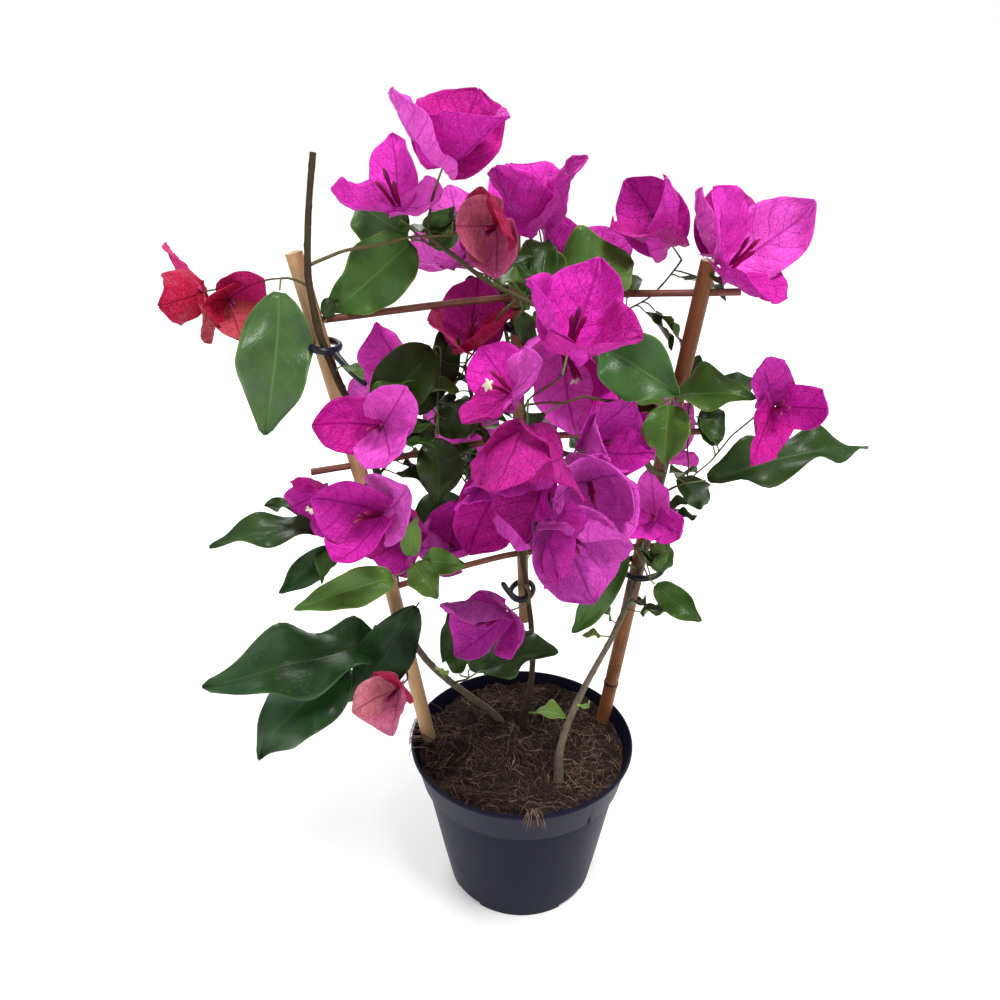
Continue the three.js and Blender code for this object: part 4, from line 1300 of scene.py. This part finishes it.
# Masses whose green differs from the dark one of the rest.
LEAF_TINTS = {"leaves_far_left": rgb(72, 106, 56), "leaves_top_left": rgb(72, 110, 52),
              "leaves_dark": rgb(40, 58, 16), "leaves_new": rgb(78, 114, 46),
              "leaves_low_left": rgb(36, 68, 36), "leaves_right": rgb(66, 95, 30),
              "leaves_left": rgb(38, 66, 26), "leaves_top": rgb(66, 100, 40),
              "leaves_low_right": rgb(58, 90, 32), "leaves_right_upper": rgb(58, 92, 44)}
leaf_skin = leaf_finish()
leaf_stalks = []
for node in leaf_nodes:
    luck = random.Random(node)
    blades = Batch()
    for base, along, upper, length, width in leaves[node]:
        red, green, blue, _ = LEAF_TINTS.get(node, DARK_LEAF)
        vary = luck.uniform(0.82, 1.2)
        tint = (red * vary * luck.uniform(0.9, 1.15), green * vary,
                blue * vary * luck.uniform(0.85, 1.15), 1)
        leaf(blades, base, along, upper, length, width, tint, luck)
        leaf_stalks.append((node, base, along))
    bring_out(blades.build("foliage_" + node.removeprefix("leaves_"), leaf_skin), "leaf", node)


# ---------------------------------------------------------------- twigs and stalks
# Twigs grow on from the boughs by one rule: each mass is reached from the limb
# that needs the shortest, least bent twig, and later twigs may fork from it.

TWIG_STEP, STALK_STEP = 0.004, 0.003
INTERNODE = 0.021
TWIG_TINTS = [rgb(92, 92, 54), rgb(78, 74, 46), rgb(104, 96, 62), rgb(96, 70, 50)]
STALK_TINTS = [rgb(104, 122, 72), rgb(92, 100, 62), rgb(118, 96, 84)]
TWIG_END = 0.00065
LOWEST_PERCH = 0.15
BENT_COST, STRAIGHT_SAVING = 1.65, 0.65
growth = random.Random(41)

perches = []
for limb_name, (core, girth) in paths.items():
    if not limb_name.startswith("cane"):
        run = np.gradient(core, axis=0)
        perches += [(place, unit(way), radius) for place, way, radius in zip(core, run, girth)
                    if place[2] > LOWEST_PERCH]


def curve(start, leaving, end, arriving, step=TWIG_STEP):
    """A smooth line that leaves and arrives in the given directions."""
    reach = np.linalg.norm(end - start)
    first, last = start + leaving * reach / 3, end - arriving * reach / 3
    shares = np.linspace(0, 1, max(4, int(reach / step)) + 1)[:, None]
    return (start * (1 - shares) ** 3 + 3 * first * shares * (1 - shares) ** 2
            + 3 * last * shares ** 2 * (1 - shares) + end * shares ** 3)


def effort(perch, end):
    """What a twig from a perch to its end costs: its length, and more where it has to bend."""
    place, way, _ = perch
    gap = end - place
    reach = np.linalg.norm(gap)
    lean = unit(way + np.array((0, 0, 0.6))) @ gap / max(reach, 1e-9)
    return reach * (BENT_COST - STRAIGHT_SAVING * lean)


def kinked(line, amount):
    """A twig bends a little at each of its joints, to one side and then the other."""
    aside = unit(np.cross(line[-1] - line[0], (growth.uniform(-1, 1), growth.uniform(-1, 1), 0.4)))
    length = np.linalg.norm(line[-1] - line[0])
    if length > INTERNODE:
        share = np.linspace(0, 1, len(line))
        swing = np.sin(share * math.pi) * np.abs((share * length / INTERNODE) % 2 - 1)
        line = line + aside * (swing - swing.mean() * np.sin(share * math.pi))[:, None] * amount
    return line


def twig_relief(turn, along):
    joint = (along % INTERNODE) / INTERNODE - 0.5
    return 1 + 0.07 * math.sin(turn * 3 + along * 300) + 0.22 * math.exp(-(joint * 16) ** 2)


twigs, stalks = Batch(), Batch()
joints = []
for node in bloom_nodes + leaf_nodes:
    ends = [(base, looks) for owner, base, looks in stalk_ends + leaf_stalks if owner == node]
    meeting = joint_of(node)
    if meeting is None:
        base, looks = ends[0]
        meeting = base - looks * (STALK if node in bloom_nodes else STALK / 2)
    joints.append((node, meeting, unit(sum(looks for _, looks in ends)), ends))

while joints:
    easiest = min((min(effort(perch, joint[1]) for perch in perches), k)
                  for k, joint in enumerate(joints))[1]
    node, meeting, outward, ends = joints.pop(easiest)
    place, way, radius = min(perches, key=lambda perch: effort(perch, meeting))
    reach = np.linalg.norm(meeting - place)
    if reach > 0.004:
        leaving = unit(way * 0.3 + unit(meeting - place))
        line = kinked(curve(place, leaving, meeting, unit(unit(meeting - place) + outward * 0.5)), 0.0022)
        foot = min(radius * 0.8, 0.0007 + reach * 0.012)
        thickness = np.linspace(foot, TWIG_END, len(line))
        tube(twigs, line, thickness, 8, growth.choice(TWIG_TINTS), twig_relief)
        perches += [(p, unit(w), r) for p, w, r in zip(line, np.gradient(line, axis=0), thickness)]
    for base, looks in ends:
        leaving = unit(unit(base - meeting) + growth.uniform(-0.2, 0.2) * outward)
        line = curve(meeting, leaving, base, looks, STALK_STEP)
        tint = growth.choice(STALK_TINTS)
        tube(stalks, line, np.linspace(0.0007, 0.00055, len(line)), 6, tint)

# Long shoots that cross the open parts of the fan: limb, share of the way along it, and mass it reaches.
SHOOTS = (("bough_tall", 0.8, "bloom_salmon"), ("bough_arching", 0.3, "bloom_heart"),
          ("bough_tall", 0.32, "leaves_dark"), ("bough_arching", 0.72, "bloom_crimson"))
for limb_name, share, node in SHOOTS:
    core = paths[limb_name][0]
    at = int(share * (len(core) - 1))
    end = next(base - looks * 0.012 for owner, base, looks in stalk_ends + leaf_stalks if owner == node)
    ahead = unit(end - core[at])
    leaving = unit(unit(core[at + 1] - core[at]) * 0.3 + ahead)
    line = kinked(curve(core[at], leaving, end, ahead), 0.003)
    tube(twigs, line, np.linspace(0.0011, 0.0006, len(line)), 8, growth.choice(TWIG_TINTS), twig_relief)
    perches += [(p, unit(w), 0.0008) for p, w in zip(line, np.gradient(line, axis=0))]

# A pruned stub on the left stem.
STUB_SHARE, STUB_WAY = 0.36, unit(np.array((-0.55, -0.2, 0.8)))
stem = paths["stem_left"][0]
stub_foot = stem[int(STUB_SHARE * len(stem))]
stub = np.array([stub_foot + STUB_WAY * reach for reach in (0, 0.004, 0.008, 0.011)])
tube(twigs, stub, [0.0022, 0.002, 0.0019, 0.0018], 10, GREY_BARK, twig_relief)


# ---------------------------------------------------------------- small leaves
# Small leaves grow in turn along twigs and boughs, a golden angle apart, but
# only close to the masses, so that the gaps of the crown stay open.

MOST_SMALL_LEAVES = 120
SMALL_LENGTHS, SMALL_BREADTHS = (0.018, 0.040), (0.42, 0.6)
SMALL_GREENS = [DARK_LEAF, rgb(64, 94, 34), rgb(38, 60, 20), rgb(58, 88, 30)]
LOWEST_LEAF, BARE_TIP = 0.2, 0.07
# How far a small leaf's tip stays from the masses: at least, at most in front, and at most at the rear.
CLOSEST, FARTHEST_IN_FRONT, FARTHEST_AT_REAR = 0.005, 0.016, 0.022
# The hollow of each head that stays clear: its middle's distance and radius, and how far ahead it reaches.
MOUTH_AHEAD, MOUTH_RADIUS, MOUTH_REACH = 0.02, 0.036, 0.08

crown = np.concatenate([points_of(node) for node in bloom_nodes + leaf_nodes])
small = {"rear": Batch(), "front": Batch()}
turn, grown = 0.0, 0
bare_tip = paths["bough_tall"][0][-1]
mouths = [(base, looks) for owner, base, looks in stalk_ends]
for k in growth.sample(range(len(perches)), len(perches)):
    place, way, radius = perches[k]
    if (grown >= MOST_SMALL_LEAVES or place[2] < LOWEST_LEAF
            or np.linalg.norm(place - bare_tip) < BARE_TIP):
        continue
    turn += GOLDEN_ANGLE
    side = unit(np.cross(way, (0.1, 0.2, 0.9)))
    out = unit(side * math.cos(turn) + np.cross(way, side) * math.sin(turn) + way * 0.5)
    length = growth.uniform(*SMALL_LENGTHS)
    base = place + out * (radius + growth.uniform(0.006, 0.013))
    along = unit(out + np.array((0, 0, growth.uniform(-0.7, 0.15))))
    tip = base + along * length
    near = np.sort(np.linalg.norm(crown - tip, axis=1))[:6].mean()
    if not CLOSEST < near < (FARTHEST_AT_REAR if tip[1] > 0.02 else FARTHEST_IN_FRONT):
        continue
    middle = base + along * length / 2
    if any(np.linalg.norm(middle - root - looks * MOUTH_AHEAD) < MOUTH_RADIUS
           or (np.linalg.norm(tip - root) < MOUTH_REACH and unit(tip - root) @ looks > 0.6)
           for root, looks in mouths):
        continue
    upper = unit(np.array((0, -0.25 if place[1] < 0.03 else 0.25, 1.0)) - along * along[2])
    upper = unit(upper - (upper @ along) * along)
    rear = tip[1] > 0.03
    tint = growth.choice(SMALL_GREENS)
    leaf(small["rear" if rear else "front"], base, along, upper, length,
         length * growth.uniform(*SMALL_BREADTHS), tint, growth, 12, 6)
    line = curve(place, way, base, along, STALK_STEP)
    tube(stalks, line, np.linspace(0.0006, 0.0005, len(line)), 5, growth.choice(STALK_TINTS))
    crown = np.concatenate([crown, [base + along * length * s for s in (0.3, 0.6, 0.9)]])
    grown += 1

# Lone young leaves low on the wood: limb, height on it, lean and length.
YOUNG_LEAVES = (
    ("stem_middle", 0.130, (1, -0.5, 0.3), 0.027), ("stem_right", 0.172, (0.4, -0.9, 0.6), 0.013),
    ("stem_right", 0.215, (-1, -0.2, 0.2), 0.014), ("stem_left", 0.165, (-0.2, -0.6, 0.8), 0.016))
for limb_name, height, lean, length in YOUNG_LEAVES:
    core = paths[limb_name][0]
    place = core[np.argmin(abs(core[:, 2] - height))]
    along = unit(np.array(lean))
    upper = unit(np.array((0, 0, 1)) - along * along[2])
    leaf(small["front"], place + along * 0.009, along, upper, length, length * 0.62, NEW_LEAF, growth, 12, 8)
    line = [place, place + along * 0.005, place + along * 0.010]
    tube(stalks, line, [0.0007, 0.0006, 0.0006], 6, NEW_LEAF)

for name, batch in small.items():
    bring_out(batch.build("small_leaves_" + name, leaf_skin), "leaf")
bring_out(twigs.build("twigs", bark), "bark")
bring_out(stalks.build("stalks", plain_finish("green_stalk", 0.55)), "leaf")
